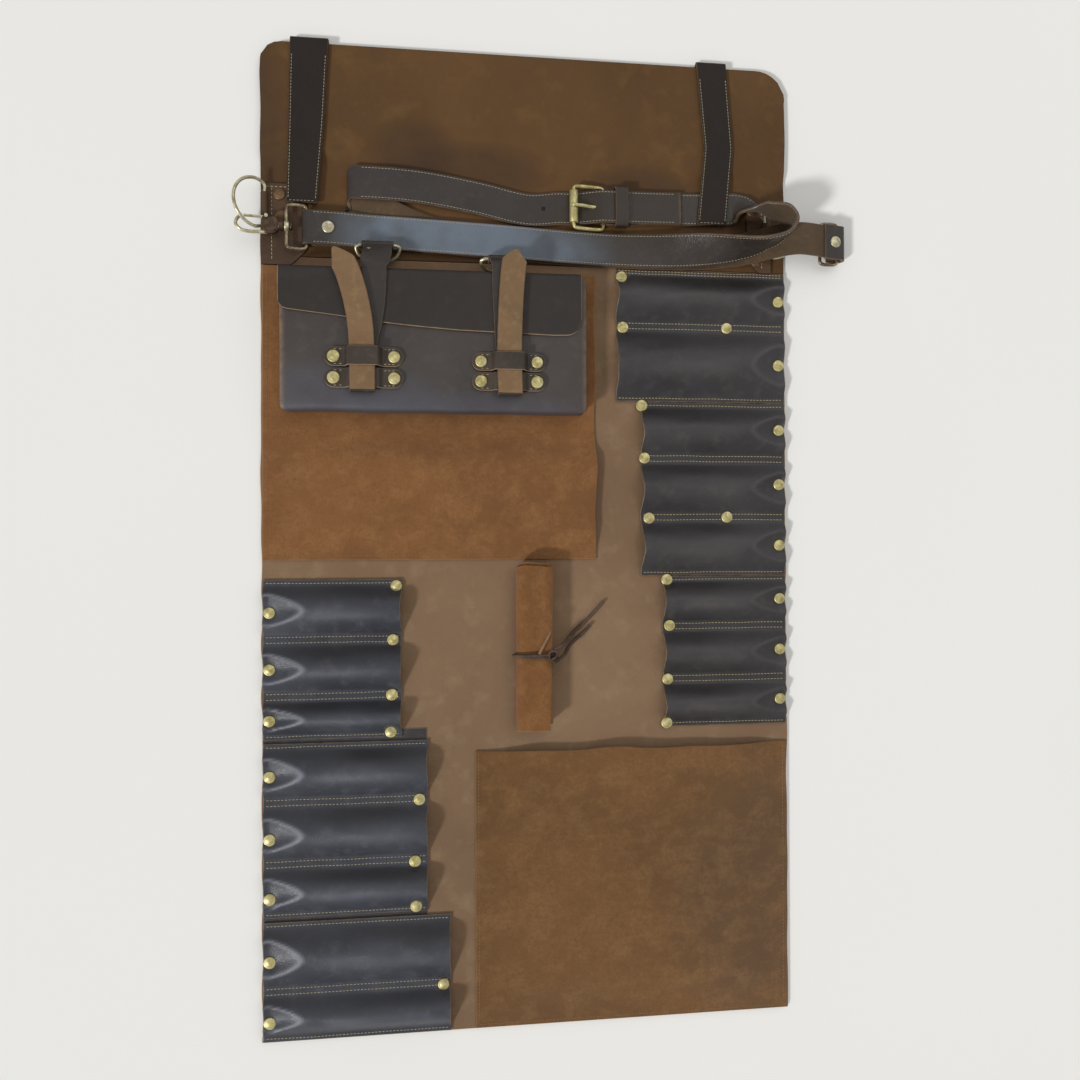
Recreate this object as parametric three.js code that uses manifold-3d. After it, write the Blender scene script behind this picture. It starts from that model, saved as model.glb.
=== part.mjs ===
// Leather carving tool roll, opened flat. Millimetres, +Z up.
// X runs across the roll, +Y towards the top flap, and the panel's underside lies on z = 0.
import * as THREE from 'three';
import * as BufferGeometryUtils from 'three/addons/utils/BufferGeometryUtils.js';
import Module from 'manifold-3d';

const wasm = await Module();
wasm.setup();

// ---------- driving dimensions ----------
const GAP = 0.3; // clearance between touching pieces
const PANEL_WIDTH = 480;
const PANEL_BOTTOM = -440;
const PANEL_TOP = 442;
const PANEL_THICK = 2.4;
const FLAP_FOLD_Y = 340; // crease between the panel and the top flap
const LOWER_FOLD_Y = -175.5; // crease below the wrap
const BOTTOM_FOLD_Y = -332; // crease above the last left pockets
const FLAP_RADIUS_LEFT = 18;
const FLAP_RADIUS_RIGHT = 28;

const POCKET_THICK = 1.8;
const POCKET_RISE = 12.5; // height of a slot's dome at its mouth
const LAND = 4.5; // flat stitched leather at each side of a slot
const EDGE_INSET = 1; // pockets stop this far inside the panel's edge
const SUEDE_THICK = 1.6;
const SUEDE_RISE = 5.4;

const STRAP_WIDTH = 30;
const STRAP_THICK = 2.6;
const WIRE = 1.5; // radius of ring and hook wire
const RING_RADIUS = 21;
const RING_LEG = 8;

const POUCH = { left: -222, right: 48, bottom: 113, top: 236, low: 4.9, high: 26.9, wall: 1.6 };
const POUCH_LEATHER = 1.5;
const POUCH_STRAP_WIDTH = 22;

const HALF = PANEL_WIDTH / 2;
const FLOOR_OF_PANEL = PANEL_THICK + GAP; // underside of what lies on the panel
const FLAP_LOW = PANEL_THICK; // the flap rests on the outer runs of the closure straps

// ---------- materials ----------
const material = (color, roughness, metalness = 0) => (
  new THREE.MeshStandardMaterial({ color, roughness, metalness }));
const TAN = material(0x7b6553, 0.8);
const UMBER = material(0x584430, 0.65);
const DARK = material(0x45403e, 0.45);
const STRAP = material(0x4a4846, 0.4);
const SUEDE = material(0x775539, 0.95);
const BRASS = material(0x9b8a55, 0.35, 1);
const LACE = material(0x33261f, 0.7);

// ---------- helpers ----------
const root = new THREE.Group();

function add(name, geometry, look, parent = root) {
  const mesh = new THREE.Mesh(geometry, look);
  mesh.name = name;
  parent.add(mesh);
  return mesh;
}

// A geometry with only shared positions, as boolean work needs.
function welded(geometry) {
  const bare = geometry.clone();
  bare.deleteAttribute('normal');
  bare.deleteAttribute('uv');
  return BufferGeometryUtils.mergeVertices(bare, 1e-4);
}

function solid(geometry) {
  const bare = welded(geometry);
  return new wasm.Manifold(new wasm.Mesh({
    numProp: 3,
    vertProperties: new Float32Array(bare.attributes.position.array),
    triVerts: new Uint32Array(bare.index.array),
  }));
}

function geometryOf(manifold) {
  const mesh = manifold.getMesh();
  const geometry = new THREE.BufferGeometry();
  geometry.setAttribute('position', new THREE.BufferAttribute(mesh.vertProperties, 3));
  geometry.setIndex(new THREE.BufferAttribute(mesh.triVerts, 1));
  return geometry;
}

// Joins the first list of geometries and cuts the second list out of them.
function combine(joined, cuts = []) {
  let body = solid(joined[0]);
  for (const extra of joined.slice(1)) body = body.add(solid(extra));
  for (const cut of cuts) body = body.subtract(solid(cut));
  return geometryOf(body);
}

// A box given by its lowest and highest corners.
function box(x0, x1, y0, y1, z0, z1) {
  const geometry = new THREE.BoxGeometry(x1 - x0, y1 - y0, z1 - z0);
  return geometry.translate((x0 + x1) / 2, (y0 + y1) / 2, (z0 + z1) / 2);
}

// A flat plate: an outline in XY, raised from z0 by its thickness.
function plate(shape, z0, thick) {
  const geometry = new THREE.ExtrudeGeometry(shape, {
    depth: thick, bevelEnabled: false, curveSegments: 6,
  });
  return geometry.translate(0, 0, z0);
}

// A cylinder between two x, y or z values along one axis.
function rod(axis, from, to, radius, centre, sides = 12) {
  const geometry = new THREE.CylinderGeometry(radius, radius, to - from, sides);
  if (axis === 'x') geometry.rotateZ(Math.PI / 2);
  if (axis === 'z') geometry.rotateX(Math.PI / 2);
  const place = new THREE.Vector3(...centre);
  place[axis] = (from + to) / 2;
  return geometry.translate(place.x, place.y, place.z);
}

// A strap along a centreline. Each point is [x, y, z, roll in degrees]; roll lifts the left edge.
function strap(points, width, thick, steps, half = () => 1) {
  const path = new THREE.CatmullRomCurve3(
    points.map(([x, y, z]) => new THREE.Vector3(x, y, z)), false, 'centripetal');
  const rolls = points.map((point) => THREE.MathUtils.degToRad(point[3] ?? 0));
  const geometry = new THREE.BoxGeometry(1, width, thick, steps, 1, 1);
  const position = geometry.attributes.position;
  const up = new THREE.Vector3(0, 0, 1);
  for (let i = 0; i < position.count; i += 1) {
    const t = position.getX(i) + 0.5;
    const centre = path.getPoint(t);
    const along = path.getTangent(t);
    const flat = new THREE.Vector3().crossVectors(up, along).normalize();
    const rise = new THREE.Vector3().crossVectors(along, flat).normalize();
    const slot = t * (rolls.length - 1);
    const k = Math.min(Math.floor(slot), rolls.length - 2);
    const roll = THREE.MathUtils.lerp(rolls[k], rolls[k + 1], slot - k);
    const side = flat.clone().multiplyScalar(Math.cos(roll)).addScaledVector(rise, Math.sin(roll));
    const face = rise.clone().multiplyScalar(Math.cos(roll)).addScaledVector(flat, -Math.sin(roll));
    centre.addScaledVector(side, position.getY(i) * half(t)).addScaledVector(face, position.getZ(i));
    position.setXYZ(i, centre.x, centre.y, centre.z);
  }
  return geometry;
}

// A closed loop of round wire lying near a plane with the given normal.
function wireLoop(points, radius, normal, steps, sides = 6) {
  const path = new THREE.CatmullRomCurve3(points, true, 'centripetal');
  const geometry = new THREE.TorusGeometry(1, 0.5, sides, steps);
  const position = geometry.attributes.position;
  for (let i = 0; i < position.count; i += 1) {
    const ring = i % (steps + 1);
    const around = (Math.floor(i / (steps + 1)) / sides) * Math.PI * 2;
    const t = (ring % steps) / steps;
    const along = path.getTangentAt(t);
    const out = new THREE.Vector3().crossVectors(along, normal).normalize();
    const rise = new THREE.Vector3().crossVectors(out, along).normalize();
    const place = path.getPointAt(t)
      .addScaledVector(out, radius * Math.cos(around))
      .addScaledVector(rise, radius * Math.sin(around));
    position.setXYZ(i, place.x, place.y, place.z);
  }
  return geometry;
}

// An open length of round wire or cord.
function wire(points, radius, steps, sides = 8) {
  const path = new THREE.CatmullRomCurve3(points.map((p) => new THREE.Vector3(...p)), false, 'centripetal');
  const section = new THREE.Shape();
  for (let i = 0; i < sides; i += 1) {
    const angle = (i / sides) * Math.PI * 2;
    const place = [radius * Math.cos(angle), radius * Math.sin(angle)];
    if (i === 0) section.moveTo(...place);
    else section.lineTo(...place);
  }
  return new THREE.ExtrudeGeometry(section, { steps, extrudePath: path, bevelEnabled: false });
}

// A rivet's domed cap with its flat face down on the plane z = 0.
function rivetCap(radius = 5.2, height = 2.2) {
  const profile = [
    [0, 0], [radius, 0], [radius, height * 0.3], [radius * 0.8, height * 0.75], [0, height],
  ].map(([x, y]) => new THREE.Vector2(x, y));
  return new THREE.LatheGeometry(profile, 12).rotateX(Math.PI / 2);
}

const smooth = (t) => THREE.MathUtils.smoothstep(t, 0, 1);

// ---------- the panel, in four stretches with a crease between each ----------
function stretch(name, low, high, look = TAN) {
  const shape = new THREE.Shape();
  shape.moveTo(-HALF, low);
  shape.lineTo(HALF, low);
  shape.lineTo(HALF, high);
  shape.lineTo(-HALF, high);
  add(name, plate(shape, 0, PANEL_THICK), look);
}

function flap() {
  const low = FLAP_FOLD_Y + GAP;
  const shape = new THREE.Shape();
  shape.moveTo(-HALF, low);
  shape.lineTo(HALF, low);
  shape.lineTo(HALF, PANEL_TOP - FLAP_RADIUS_RIGHT);
  shape.absarc(HALF - FLAP_RADIUS_RIGHT, PANEL_TOP - FLAP_RADIUS_RIGHT, FLAP_RADIUS_RIGHT, 0, Math.PI / 2);
  shape.absarc(-HALF + FLAP_RADIUS_LEFT, PANEL_TOP - FLAP_RADIUS_LEFT, FLAP_RADIUS_LEFT,
    Math.PI / 2, Math.PI);
  add('panel_flap', plate(shape, FLAP_LOW, PANEL_THICK), UMBER);
}

stretch('panel_main', LOWER_FOLD_Y + GAP, FLAP_FOLD_Y - GAP);
stretch('panel_lower', BOTTOM_FOLD_Y + GAP, LOWER_FOLD_Y - GAP);
stretch('panel_bottom', PANEL_BOTTOM, BOTTOM_FOLD_Y - GAP);
flap();

// ---------- pockets ----------
// A sheet whose height over the panel follows rise(x, y).
function sheet(x0, x1, y0, y1, thick, columns, rows, rise) {
  const geometry = new THREE.BoxGeometry(x1 - x0, y1 - y0, thick, columns, rows, 1);
  geometry.translate((x0 + x1) / 2, (y0 + y1) / 2, FLOOR_OF_PANEL + thick / 2);
  const position = geometry.attributes.position;
  for (let i = 0; i < position.count; i += 1) {
    position.setZ(i, position.getZ(i) + rise(position.getX(i), position.getY(i)));
  }
  return geometry;
}

// One strip of leather sewn down at its seams, so that it stands up in a row of tool slots.
// The slots open at the mouth and are pinched flat at the panel's edge. Seams run from top to bottom.
function slotStrip(name, edge, mouth, seams) {
  const columns = 5;
  const perSlot = 6; // rows in a slot: a land at each side and four over its dome
  const rows = perSlot * (seams.length - 1);
  const geometry = new THREE.BoxGeometry(Math.abs(mouth - edge), rows, POCKET_THICK, columns, rows, 1);
  geometry.translate((mouth + edge) / 2, rows / 2, FLOOR_OF_PANEL + POCKET_THICK / 2);
  const position = geometry.attributes.position;
  for (let i = 0; i < position.count; i += 1) {
    const row = Math.round(position.getY(i));
    const slot = Math.min(Math.floor(row / perSlot), seams.length - 2);
    const step = row - slot * perSlot;
    const low = seams[seams.length - 1 - slot];
    const high = seams[seams.length - 2 - slot];
    const across = THREE.MathUtils.clamp((step - 1) / (perSlot - 2), 0, 1);
    let y = low + LAND + (high - low - 2 * LAND) * across;
    if (step === 0) y = low;
    if (step === perSlot) y = high;
    const x = position.getX(i);
    const open = smooth((x - edge) / (mouth - edge) / 0.5 - 0.12);
    const dome = POCKET_RISE * (0.5 - 0.5 * Math.cos(2 * Math.PI * across)) * open;
    position.setXYZ(i, x, y, position.getZ(i) + dome);
  }
  add(name, geometry, DARK);
}

const EDGE = HALF - EDGE_INSET;
slotStrip('right_slots_top', EDGE, 77, [250, 198.4, 128.6]);
slotStrip('right_slots_middle', EDGE, 100, [127.8, 75.7, 21.4, -32.6]);
slotStrip('right_slots_lower', EDGE, 120, [-33.4, -79.6, -128.2, -172.4]);
slotStrip('left_slots_top', -EDGE, -118, [-34, -87, -137, -175]);
slotStrip('left_slots_middle', -EDGE, -95, [-178, -230, -284, -331]);
slotStrip('left_slots_lower', -EDGE, -75, [-334.5, -395, -439]);

// The upper suede pocket opens to the right; the pouch keeps its top half flat.
const bump = (value, from, full) => smooth((value - from) / (full - from));
add('suede_pocket_upper', sheet(-EDGE, 58, -17, 243.5, SUEDE_THICK, 8, 12, (x, y) => (
  SUEDE_RISE * bump(x, -230, -150) * bump(y, -12, 14) * bump(-y, -92, -70))), SUEDE);

// The lower suede pocket opens towards the top; it is one sheet that crosses the last crease.
const lowerRise = (x, y) => (
  SUEDE_RISE * bump(x, -48, 10) * bump(-x, -234, -190) * bump(y, -434, -390));
const LOWER_POCKET = { left: -53, right: EDGE, top: -190, bottom: -439 };
const CREASE_ROOM = 7.6; // lets the raised sheet fold on itself at the crease
add('suede_pocket_lower', sheet(LOWER_POCKET.left, LOWER_POCKET.right, BOTTOM_FOLD_Y + GAP, LOWER_POCKET.top,
  SUEDE_THICK, 9, 3, lowerRise), SUEDE);
add('suede_pocket_bottom', sheet(LOWER_POCKET.left, LOWER_POCKET.right, LOWER_POCKET.bottom,
  BOTTOM_FOLD_Y - CREASE_ROOM, SUEDE_THICK, 9, 4, lowerRise), SUEDE);

// ---------- side tabs and their D-rings ----------
const TAB_THICK = 2.2;
const RING_BAR_Z = FLOOR_OF_PANEL + TAB_THICK + WIRE + GAP;

// The closed outline of a D-ring: its straight bar lies on the Y axis and its bow points to -X.
function ringPoints() {
  const points = [-0.8, -0.4, 0, 0.4, 0.8].map((part) => [0, RING_RADIUS * part]);
  const bow = 10;
  for (let i = 0; i <= bow; i += 1) {
    const angle = (i / bow) * Math.PI;
    points.push([-RING_LEG - RING_RADIUS * Math.sin(angle), RING_RADIUS * Math.cos(angle)]);
  }
  return points.map(([x, y]) => new THREE.Vector3(x, y, 0));
}

// A leather tab sewn to the panel, with a sleeve round the bar of its D-ring.
function sideTab(name, side, low, inner, outer, ringAt) {
  const high = 316;
  const cut = 12; // chamfer at the inner lower corner
  const edge = side * outer;
  const reach = side * inner;
  const shape = new THREE.Shape();
  shape.moveTo(edge, low);
  shape.lineTo(edge, high);
  shape.lineTo(reach, high);
  shape.lineTo(reach, low + cut);
  shape.lineTo(reach + side * cut, low);
  const sleeveLow = ringAt.y - RING_RADIUS + 9.5;
  const sleeveHigh = ringAt.y + RING_RADIUS - 9.5;
  const sleeve = box(ringAt.x - 4, ringAt.x + 4, sleeveLow, sleeveHigh, FLOOR_OF_PANEL, RING_BAR_Z + 2.8);
  const bore = rod('y', sleeveLow - 1, sleeveHigh + 1, WIRE + GAP + 0.1, [ringAt.x, 0, RING_BAR_Z], 12);
  add(`tab_${name}`, combine([plate(shape, FLOOR_OF_PANEL, TAB_THICK), sleeve], [bore]), UMBER);
  const ring = add(`d_ring_${name}`, wireLoop(ringPoints(), WIRE, new THREE.Vector3(0, 0, 1), 30), BRASS);
  ring.position.set(ringAt.x, ringAt.y, RING_BAR_Z);
  const tilt = THREE.MathUtils.degToRad(ringAt.tilt);
  ring.rotation.y = side < 0 ? tilt : Math.PI - tilt;
}

sideTab('left', -1, 244.2, 201.5, HALF, { x: -236.5, y: 295.5, tilt: 40 });
sideTab('right', 1, 251, 203, 227, { x: 220, y: 286, tilt: 4 });

// ---------- snap hooks ----------
// Local frame: the eye's bar lies on the Y axis and the hook points to +X.
const EYE_REACH = 17;
const EYE_HALF = 19;
const HOOK_BODY = { from: 24, to: 36, side: 8.1, half: 2.8 };
const HOOK_SPREAD = 6.5;
const HOOK_NOSE = 61;
const BOLT_RADIUS = 1.2;
const BOLT_TIP = HOOK_NOSE - 8.2;

function snapHook(name, place, tilt, roll) {
  const eyeFrame = new THREE.Group();
  eyeFrame.position.set(...place);
  eyeFrame.rotation.set(0, -THREE.MathUtils.degToRad(tilt), Math.PI, 'ZYX');
  root.add(eyeFrame);
  const hookFrame = new THREE.Group();
  hookFrame.rotation.x = THREE.MathUtils.degToRad(roll);
  eyeFrame.add(hookFrame);

  const corner = 3.5;
  const quarter = [
    [EYE_REACH, EYE_HALF - corner], [EYE_REACH - 1, EYE_HALF - 1], [EYE_REACH - corner, EYE_HALF],
    [corner, EYE_HALF], [1, EYE_HALF - 1], [0, EYE_HALF - corner],
  ];
  const mirrored = quarter.map(([x, y]) => [x, -y]).reverse();
  const outline = [...quarter, [0, 0], ...mirrored, [EYE_REACH, 0]];
  const frame = wireLoop(outline.map(([x, y]) => new THREE.Vector3(x, y, 0)), WIRE,
    new THREE.Vector3(0, 0, 1), 40);
  const boss = rod('x', EYE_REACH - 2, EYE_REACH + 2, 4.4, [0, 0, 0]);
  const hole = rod('x', EYE_REACH - 4, EYE_REACH + 4, 2.3, [0, 0, 0]);
  add(`hook_eye_${name}`, combine([frame, boss], [hole]), BRASS, eyeFrame);

  const stem = [
    [0, EYE_REACH - 5], [3.6, EYE_REACH - 5], [3.6, EYE_REACH - 2.4], [1.9, EYE_REACH - 2.4],
    [1.9, EYE_REACH + 2.4], [4.2, EYE_REACH + 2.4], [4.2, HOOK_BODY.from + 1], [0, HOOK_BODY.from + 1],
  ].map(([x, y]) => new THREE.Vector2(x, y));
  const barrel = new THREE.LatheGeometry(stem, 16).rotateZ(-Math.PI / 2);
  const block = box(HOOK_BODY.from, HOOK_BODY.to, -HOOK_BODY.side, HOOK_BODY.side,
    -HOOK_BODY.half, HOOK_BODY.half);
  const arm = wire([
    [HOOK_BODY.to - 3, HOOK_SPREAD, 0], [HOOK_BODY.to + 4, HOOK_SPREAD, 0], [HOOK_NOSE - 8, HOOK_SPREAD, 0],
    [HOOK_NOSE - 3.2, HOOK_SPREAD - 2.2, 0], [HOOK_NOSE - WIRE, 0, 0],
    [HOOK_NOSE - 3.2, 2.2 - HOOK_SPREAD, 0], [BOLT_TIP + 0.7, -HOOK_SPREAD, 0],
  ], WIRE, 16, 6);
  const bore = rod('x', HOOK_BODY.from - 1, HOOK_BODY.to + 1, BOLT_RADIUS + 0.35, [0, -HOOK_SPREAD, 0], 12);
  const slit = box(HOOK_BODY.from + 1, HOOK_BODY.to - 1, -HOOK_SPREAD - 0.9, -HOOK_SPREAD + 0.9, 0, 5);
  add(`snap_hook_${name}`, combine([barrel, block, arm], [bore, slit]), BRASS, hookFrame);

  const studX = HOOK_BODY.to - 2;
  const bolt = rod('x', HOOK_BODY.from + 8, BOLT_TIP, BOLT_RADIUS, [0, -HOOK_SPREAD, 0], 12);
  const stud = rod('z', 0, 4.4, 0.6, [studX, -HOOK_SPREAD, 0], 8);
  const knob = rod('z', 3.2, 5, 1.6, [studX, -HOOK_SPREAD, 0], 12);
  add(`hook_bolt_${name}`, combine([bolt, stud, knob]), BRASS, hookFrame);
}

const LEFT_EYE = [-200, 276, 8.4];
const RIGHT_EYE = [290, 279, 8.9];
snapHook('left', LEFT_EYE, 7.6, 0);
snapHook('right', RIGHT_EYE, 0, 35);

// ---------- shoulder strap ----------
const ON_PANEL = FLOOR_OF_PANEL + STRAP_THICK / 2; // middle of a strap lying on the panel
const ON_STRAP = ON_PANEL + STRAP_THICK + GAP; // middle of a strap lying on that strap
const BUCKLE = { bar: 66, roller: 38, y: 304.5, barZ: 5.9, rollerZ: 9.4, half: 19 };
const EYE_BORE = WIRE + 0.35;

function foldedEnd(place, x0, x1, top) {
  const [x, y, z] = place;
  const half = STRAP_WIDTH / 2;
  return [
    box(x0, x1, y - half, y + half, z - 3.3, top),
    rod('y', y - half - 1, y + half + 1, EYE_BORE, [x, 0, z], 12),
  ];
}

function buckleHalf() {
  const run = [
    [LEFT_EYE[0], LEFT_EYE[1], ON_STRAP], [-150, 275.5, ON_STRAP], [-95, 273.5, ON_STRAP],
    [-30, 271, ON_STRAP], [30, 268, ON_STRAP], [75, 266.6, ON_STRAP], [118, 266.5, 9.4, 8],
    [156, 267.2, 15.4, 32], [188, 268, 21.6, 60], [212, 270.5, 29.6, 82], [229, 277, 33, 88],
    [236, 287, 33.9, 86], [230, 297, 32.4, 95], [217, 301.5, 26.4, 95], [205, 305, 17.6, 60],
    [197.5, 308.5, 9.6, 20], [190.5, 309.8, 4.7, 0], [183, 309.6, 4.1, 0], [170, 309, ON_PANEL, 0],
    [150, 308, ON_PANEL, 0],
    [110, 307, ON_PANEL], [BUCKLE.bar + 4, BUCKLE.y, ON_PANEL],
  ];
  const [end, bore] = foldedEnd(LEFT_EYE, LEFT_EYE[0] - 4.5, -172, LEFT_EYE[2] + 3.3);
  const half = STRAP_WIDTH / 2;
  const clasp = box(BUCKLE.bar - 4.5, BUCKLE.bar + 8, BUCKLE.y - half, BUCKLE.y + half,
    FLOOR_OF_PANEL, BUCKLE.barZ + 3.1);
  const clear = box(BUCKLE.bar - 6, BUCKLE.bar + 5, BUCKLE.y - 2.6, BUCKLE.y + 2.6, 0, 20);
  const barBore = rod('y', BUCKLE.y - 20, BUCKLE.y + 20, EYE_BORE, [BUCKLE.bar, 0, BUCKLE.barZ], 12);
  return combine([strap(run, STRAP_WIDTH, STRAP_THICK, 66), end, clasp], [bore, barBore, clear]);
}

function holesHalf() {
  const upper = [
    [140, 307.5, ON_STRAP], [104, 306.8, ON_STRAP], [86, 306, 8.8], [74, 305.4, 10.8], [62, 305, 10.8],
    [50, 304.6, 7.4], [BUCKLE.roller, 304.3, 4.2], [24, 304, ON_PANEL], [-3, 301.5, ON_PANEL],
    [-50, 310.5, ON_PANEL], [-95, 317, ON_PANEL + 1], [-125, 318.5, ON_STRAP], [-163, 319, ON_STRAP],
  ];
  const under = [
    [-163, 305, ON_PANEL], [-135, 293.5, ON_PANEL], [-108, 281.5, ON_PANEL], [-78, 274, ON_PANEL],
    [-30, 270, ON_PANEL], [30, 267, ON_PANEL], [75, 266, ON_PANEL], [118, 265.8, ON_PANEL],
    [156, 267, ON_PANEL], [178, 269, ON_PANEL], [188, 270.4, 4.5], [205, 273.2, 8.2], [218, 276, 12.6],
    [236, 279.5, 16.1],
    [250, 280.8, 17.6], [264, 280, 17.6], [275, 279.4, 15.2], [284, 279, 12.7], [294, 279, 12.4],
  ];
  const fold = box(-167, -160, 295, 333, FLOOR_OF_PANEL, ON_STRAP + STRAP_THICK / 2);
  const [end, bore] = foldedEnd(RIGHT_EYE, 281, 295, 13.2);
  const prongSlot = box(44, 67, BUCKLE.y - 2.4, BUCKLE.y + 2.4, 0, 20);
  const hole = rod('z', 0, 20, 2.2, [10.6, 303, 0], 12);
  const turnedBack = [[274, 279, 18], [281, 279, 15.7], [288, 279, 14.8], [294, 279, 14.4]];
  return combine([
    strap(upper, STRAP_WIDTH, STRAP_THICK, 36), strap(under, STRAP_WIDTH, STRAP_THICK, 42),
    strap(turnedBack, STRAP_WIDTH, STRAP_THICK, 8), fold, end,
  ], [bore, prongSlot, hole]);
}

add('shoulder_strap_buckle_half', buckleHalf(), STRAP);
add('shoulder_strap_holes_half', holesHalf(), STRAP);

function buckle() {
  const corner = 4;
  const level = (x) => THREE.MathUtils.mapLinear(x, BUCKLE.roller, BUCKLE.bar, BUCKLE.rollerZ, BUCKLE.barZ);
  const side = [
    [BUCKLE.bar, BUCKLE.half - corner + 0.6], [BUCKLE.bar - 1, BUCKLE.half - 0.8],
    [BUCKLE.bar - corner, BUCKLE.half],
    [BUCKLE.roller + corner, BUCKLE.half], [BUCKLE.roller + 1, BUCKLE.half - 0.8],
    [BUCKLE.roller, BUCKLE.half - corner + 0.6],
  ];
  const outline = [
    ...side, [BUCKLE.roller, 0], ...side.map(([x, y]) => [x, -y]).reverse(), [BUCKLE.bar, 0],
  ].map(([x, y]) => new THREE.Vector3(x, BUCKLE.y + y, level(x)));
  add('buckle_frame', wireLoop(outline, WIRE, new THREE.Vector3(0, 0, 1), 40), BRASS);

  const reach = 14.6;
  const wall = [[1.9, -reach], [3.2, -reach], [3.2, reach], [1.9, reach], [1.9, -reach]];
  const roller = new THREE.LatheGeometry(wall.map(([x, y]) => new THREE.Vector2(x, y)), 16);
  add('buckle_roller', roller, BRASS).position.set(BUCKLE.roller, BUCKLE.y, BUCKLE.rollerZ);

  const collar = rod('y', BUCKLE.y - 1.9, BUCKLE.y + 1.9, 2.9, [BUCKLE.bar, 0, BUCKLE.barZ]);
  const bore = rod('y', BUCKLE.y - 3, BUCKLE.y + 3, EYE_BORE, [BUCKLE.bar, 0, BUCKLE.barZ], 12);
  const tongue = wire([
    [BUCKLE.bar - 2.1, BUCKLE.y, BUCKLE.barZ + 1.6], [BUCKLE.bar - 10, BUCKLE.y, 9.6],
    [BUCKLE.bar - 20, BUCKLE.y, 13], [BUCKLE.roller - 1, BUCKLE.y, BUCKLE.rollerZ + 3.2 + 1.7],
  ], 1.3, 10);
  add('buckle_prong', combine([collar, tongue], [bore]), BRASS);
}
buckle();

const KEEPER = { from: 76, to: 88, low: 287.5, high: 324.5, wall: 1.5, top: 14.2 };
add('strap_keeper_loop', combine(
  [box(KEEPER.from, KEEPER.to, KEEPER.low, KEEPER.high, FLOOR_OF_PANEL, KEEPER.top)],
  [box(KEEPER.from - 1, KEEPER.to + 1, KEEPER.low + KEEPER.wall, KEEPER.high - KEEPER.wall,
    FLOOR_OF_PANEL - 1, KEEPER.top - KEEPER.wall)],
), STRAP);

function rivet(name, x, y, z) {
  add(name, rivetCap(), BRASS).position.set(x, y, z + GAP);
}
rivet('strap_rivet_left', -181, 276, LEFT_EYE[2] + 3.3);
rivet('strap_rivet_right', 285.5, 279, 17.6);

// ---------- closure straps ----------
const CLOSURE_THICK = 2.1;
const CLOSURE_LOW = 5.6; // underside of the inner run, clear of the flap and the shoulder strap
const BEND = { y: PANEL_TOP + 0.8, z: (CLOSURE_LOW + CLOSURE_THICK) / 2 };

// The outer run lies under the flap and turns up round its top edge.
function closureAnchor(name, left, right) {
  const outer = BEND.z;
  const inner = BEND.z - CLOSURE_THICK;
  const profile = new THREE.Shape();
  profile.moveTo(FLAP_FOLD_Y + 3, 0);
  profile.lineTo(BEND.y, 0);
  profile.absarc(BEND.y, BEND.z, outer, -Math.PI / 2, Math.PI / 2);
  profile.absarc(BEND.y, BEND.z, inner, Math.PI / 2, -Math.PI / 2, true);
  profile.lineTo(FLAP_FOLD_Y + 3, CLOSURE_THICK);
  const geometry = new THREE.ExtrudeGeometry(profile, {
    depth: right - left, bevelEnabled: false, curveSegments: 6,
  });
  // profile's x, y become the object's Y, Z and the extrusion runs along X
  geometry.applyMatrix4(new THREE.Matrix4().set(0, 0, 1, left, 1, 0, 0, 0, 0, 1, 0, 0, 0, 0, 0, 1));
  add(name, geometry, STRAP);
}

function closureStrap(name, leftEdge, rightEdge) {
  const shape = new THREE.Shape();
  const start = BEND.y - GAP;
  shape.moveTo(leftEdge[0][0], start);
  shape.splineThru(leftEdge.slice(1).map(([x, y]) => new THREE.Vector2(x, y)));
  shape.lineTo(...rightEdge[rightEdge.length - 1]);
  shape.splineThru([...rightEdge.slice(1, -1).reverse(), [rightEdge[0][0], start]]
    .map(([x, y]) => new THREE.Vector2(x, y)));
  add(name, plate(shape, CLOSURE_LOW, CLOSURE_THICK), STRAP);
}

closureAnchor('closure_anchor_left', -214.5, -181);
closureAnchor('closure_anchor_right', 154.5, 183);
closureStrap('closure_strap_left',
  [[-214.5], [-216, 370], [-218, 299.5]], [[-181], [-185, 370], [-191, 297]]);
closureStrap('closure_strap_right',
  [[154.5], [161.5, 365], [154.5, 294]], [[183], [189, 365], [182.5, 292.5]]);

// ---------- pouch ----------
const POUCH_FRONT = POUCH.high + GAP;
add('pouch_body', combine(
  [box(POUCH.left, POUCH.right, POUCH.bottom, POUCH.top, POUCH.low, POUCH.high)],
  [box(POUCH.left + POUCH.wall, POUCH.right - POUCH.wall, POUCH.bottom + POUCH.wall, POUCH.top + 1,
    POUCH.low + POUCH.wall, POUCH.high - POUCH.wall)],
), DARK);

const POUCH_FLAP_RIGHT = 42;
function pouchFlap() {
  const top = POUCH.top + GAP;
  const shape = new THREE.Shape();
  shape.moveTo(POUCH.left, top + POUCH_LEATHER);
  shape.lineTo(POUCH.left, 205);
  shape.quadraticCurveTo(POUCH.left, 199, -212, 198.8);
  const edge = [[-173, 194.5], [-131, 189], [-69, 184.2], [17, 181.6]];
  shape.splineThru(edge.map(([x, y]) => new THREE.Vector2(x, y)));
  shape.quadraticCurveTo(POUCH_FLAP_RIGHT - 3, 181.6, POUCH_FLAP_RIGHT - 1, 196);
  shape.lineTo(POUCH_FLAP_RIGHT, top + POUCH_LEATHER);
  const back = box(POUCH.left, POUCH_FLAP_RIGHT, top, top + POUCH_LEATHER, POUCH.low, POUCH_FRONT + 0.5);
  add('pouch_flap', combine([plate(shape, POUCH_FRONT, POUCH_LEATHER), back]), DARK);
}
pouchFlap();

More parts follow.
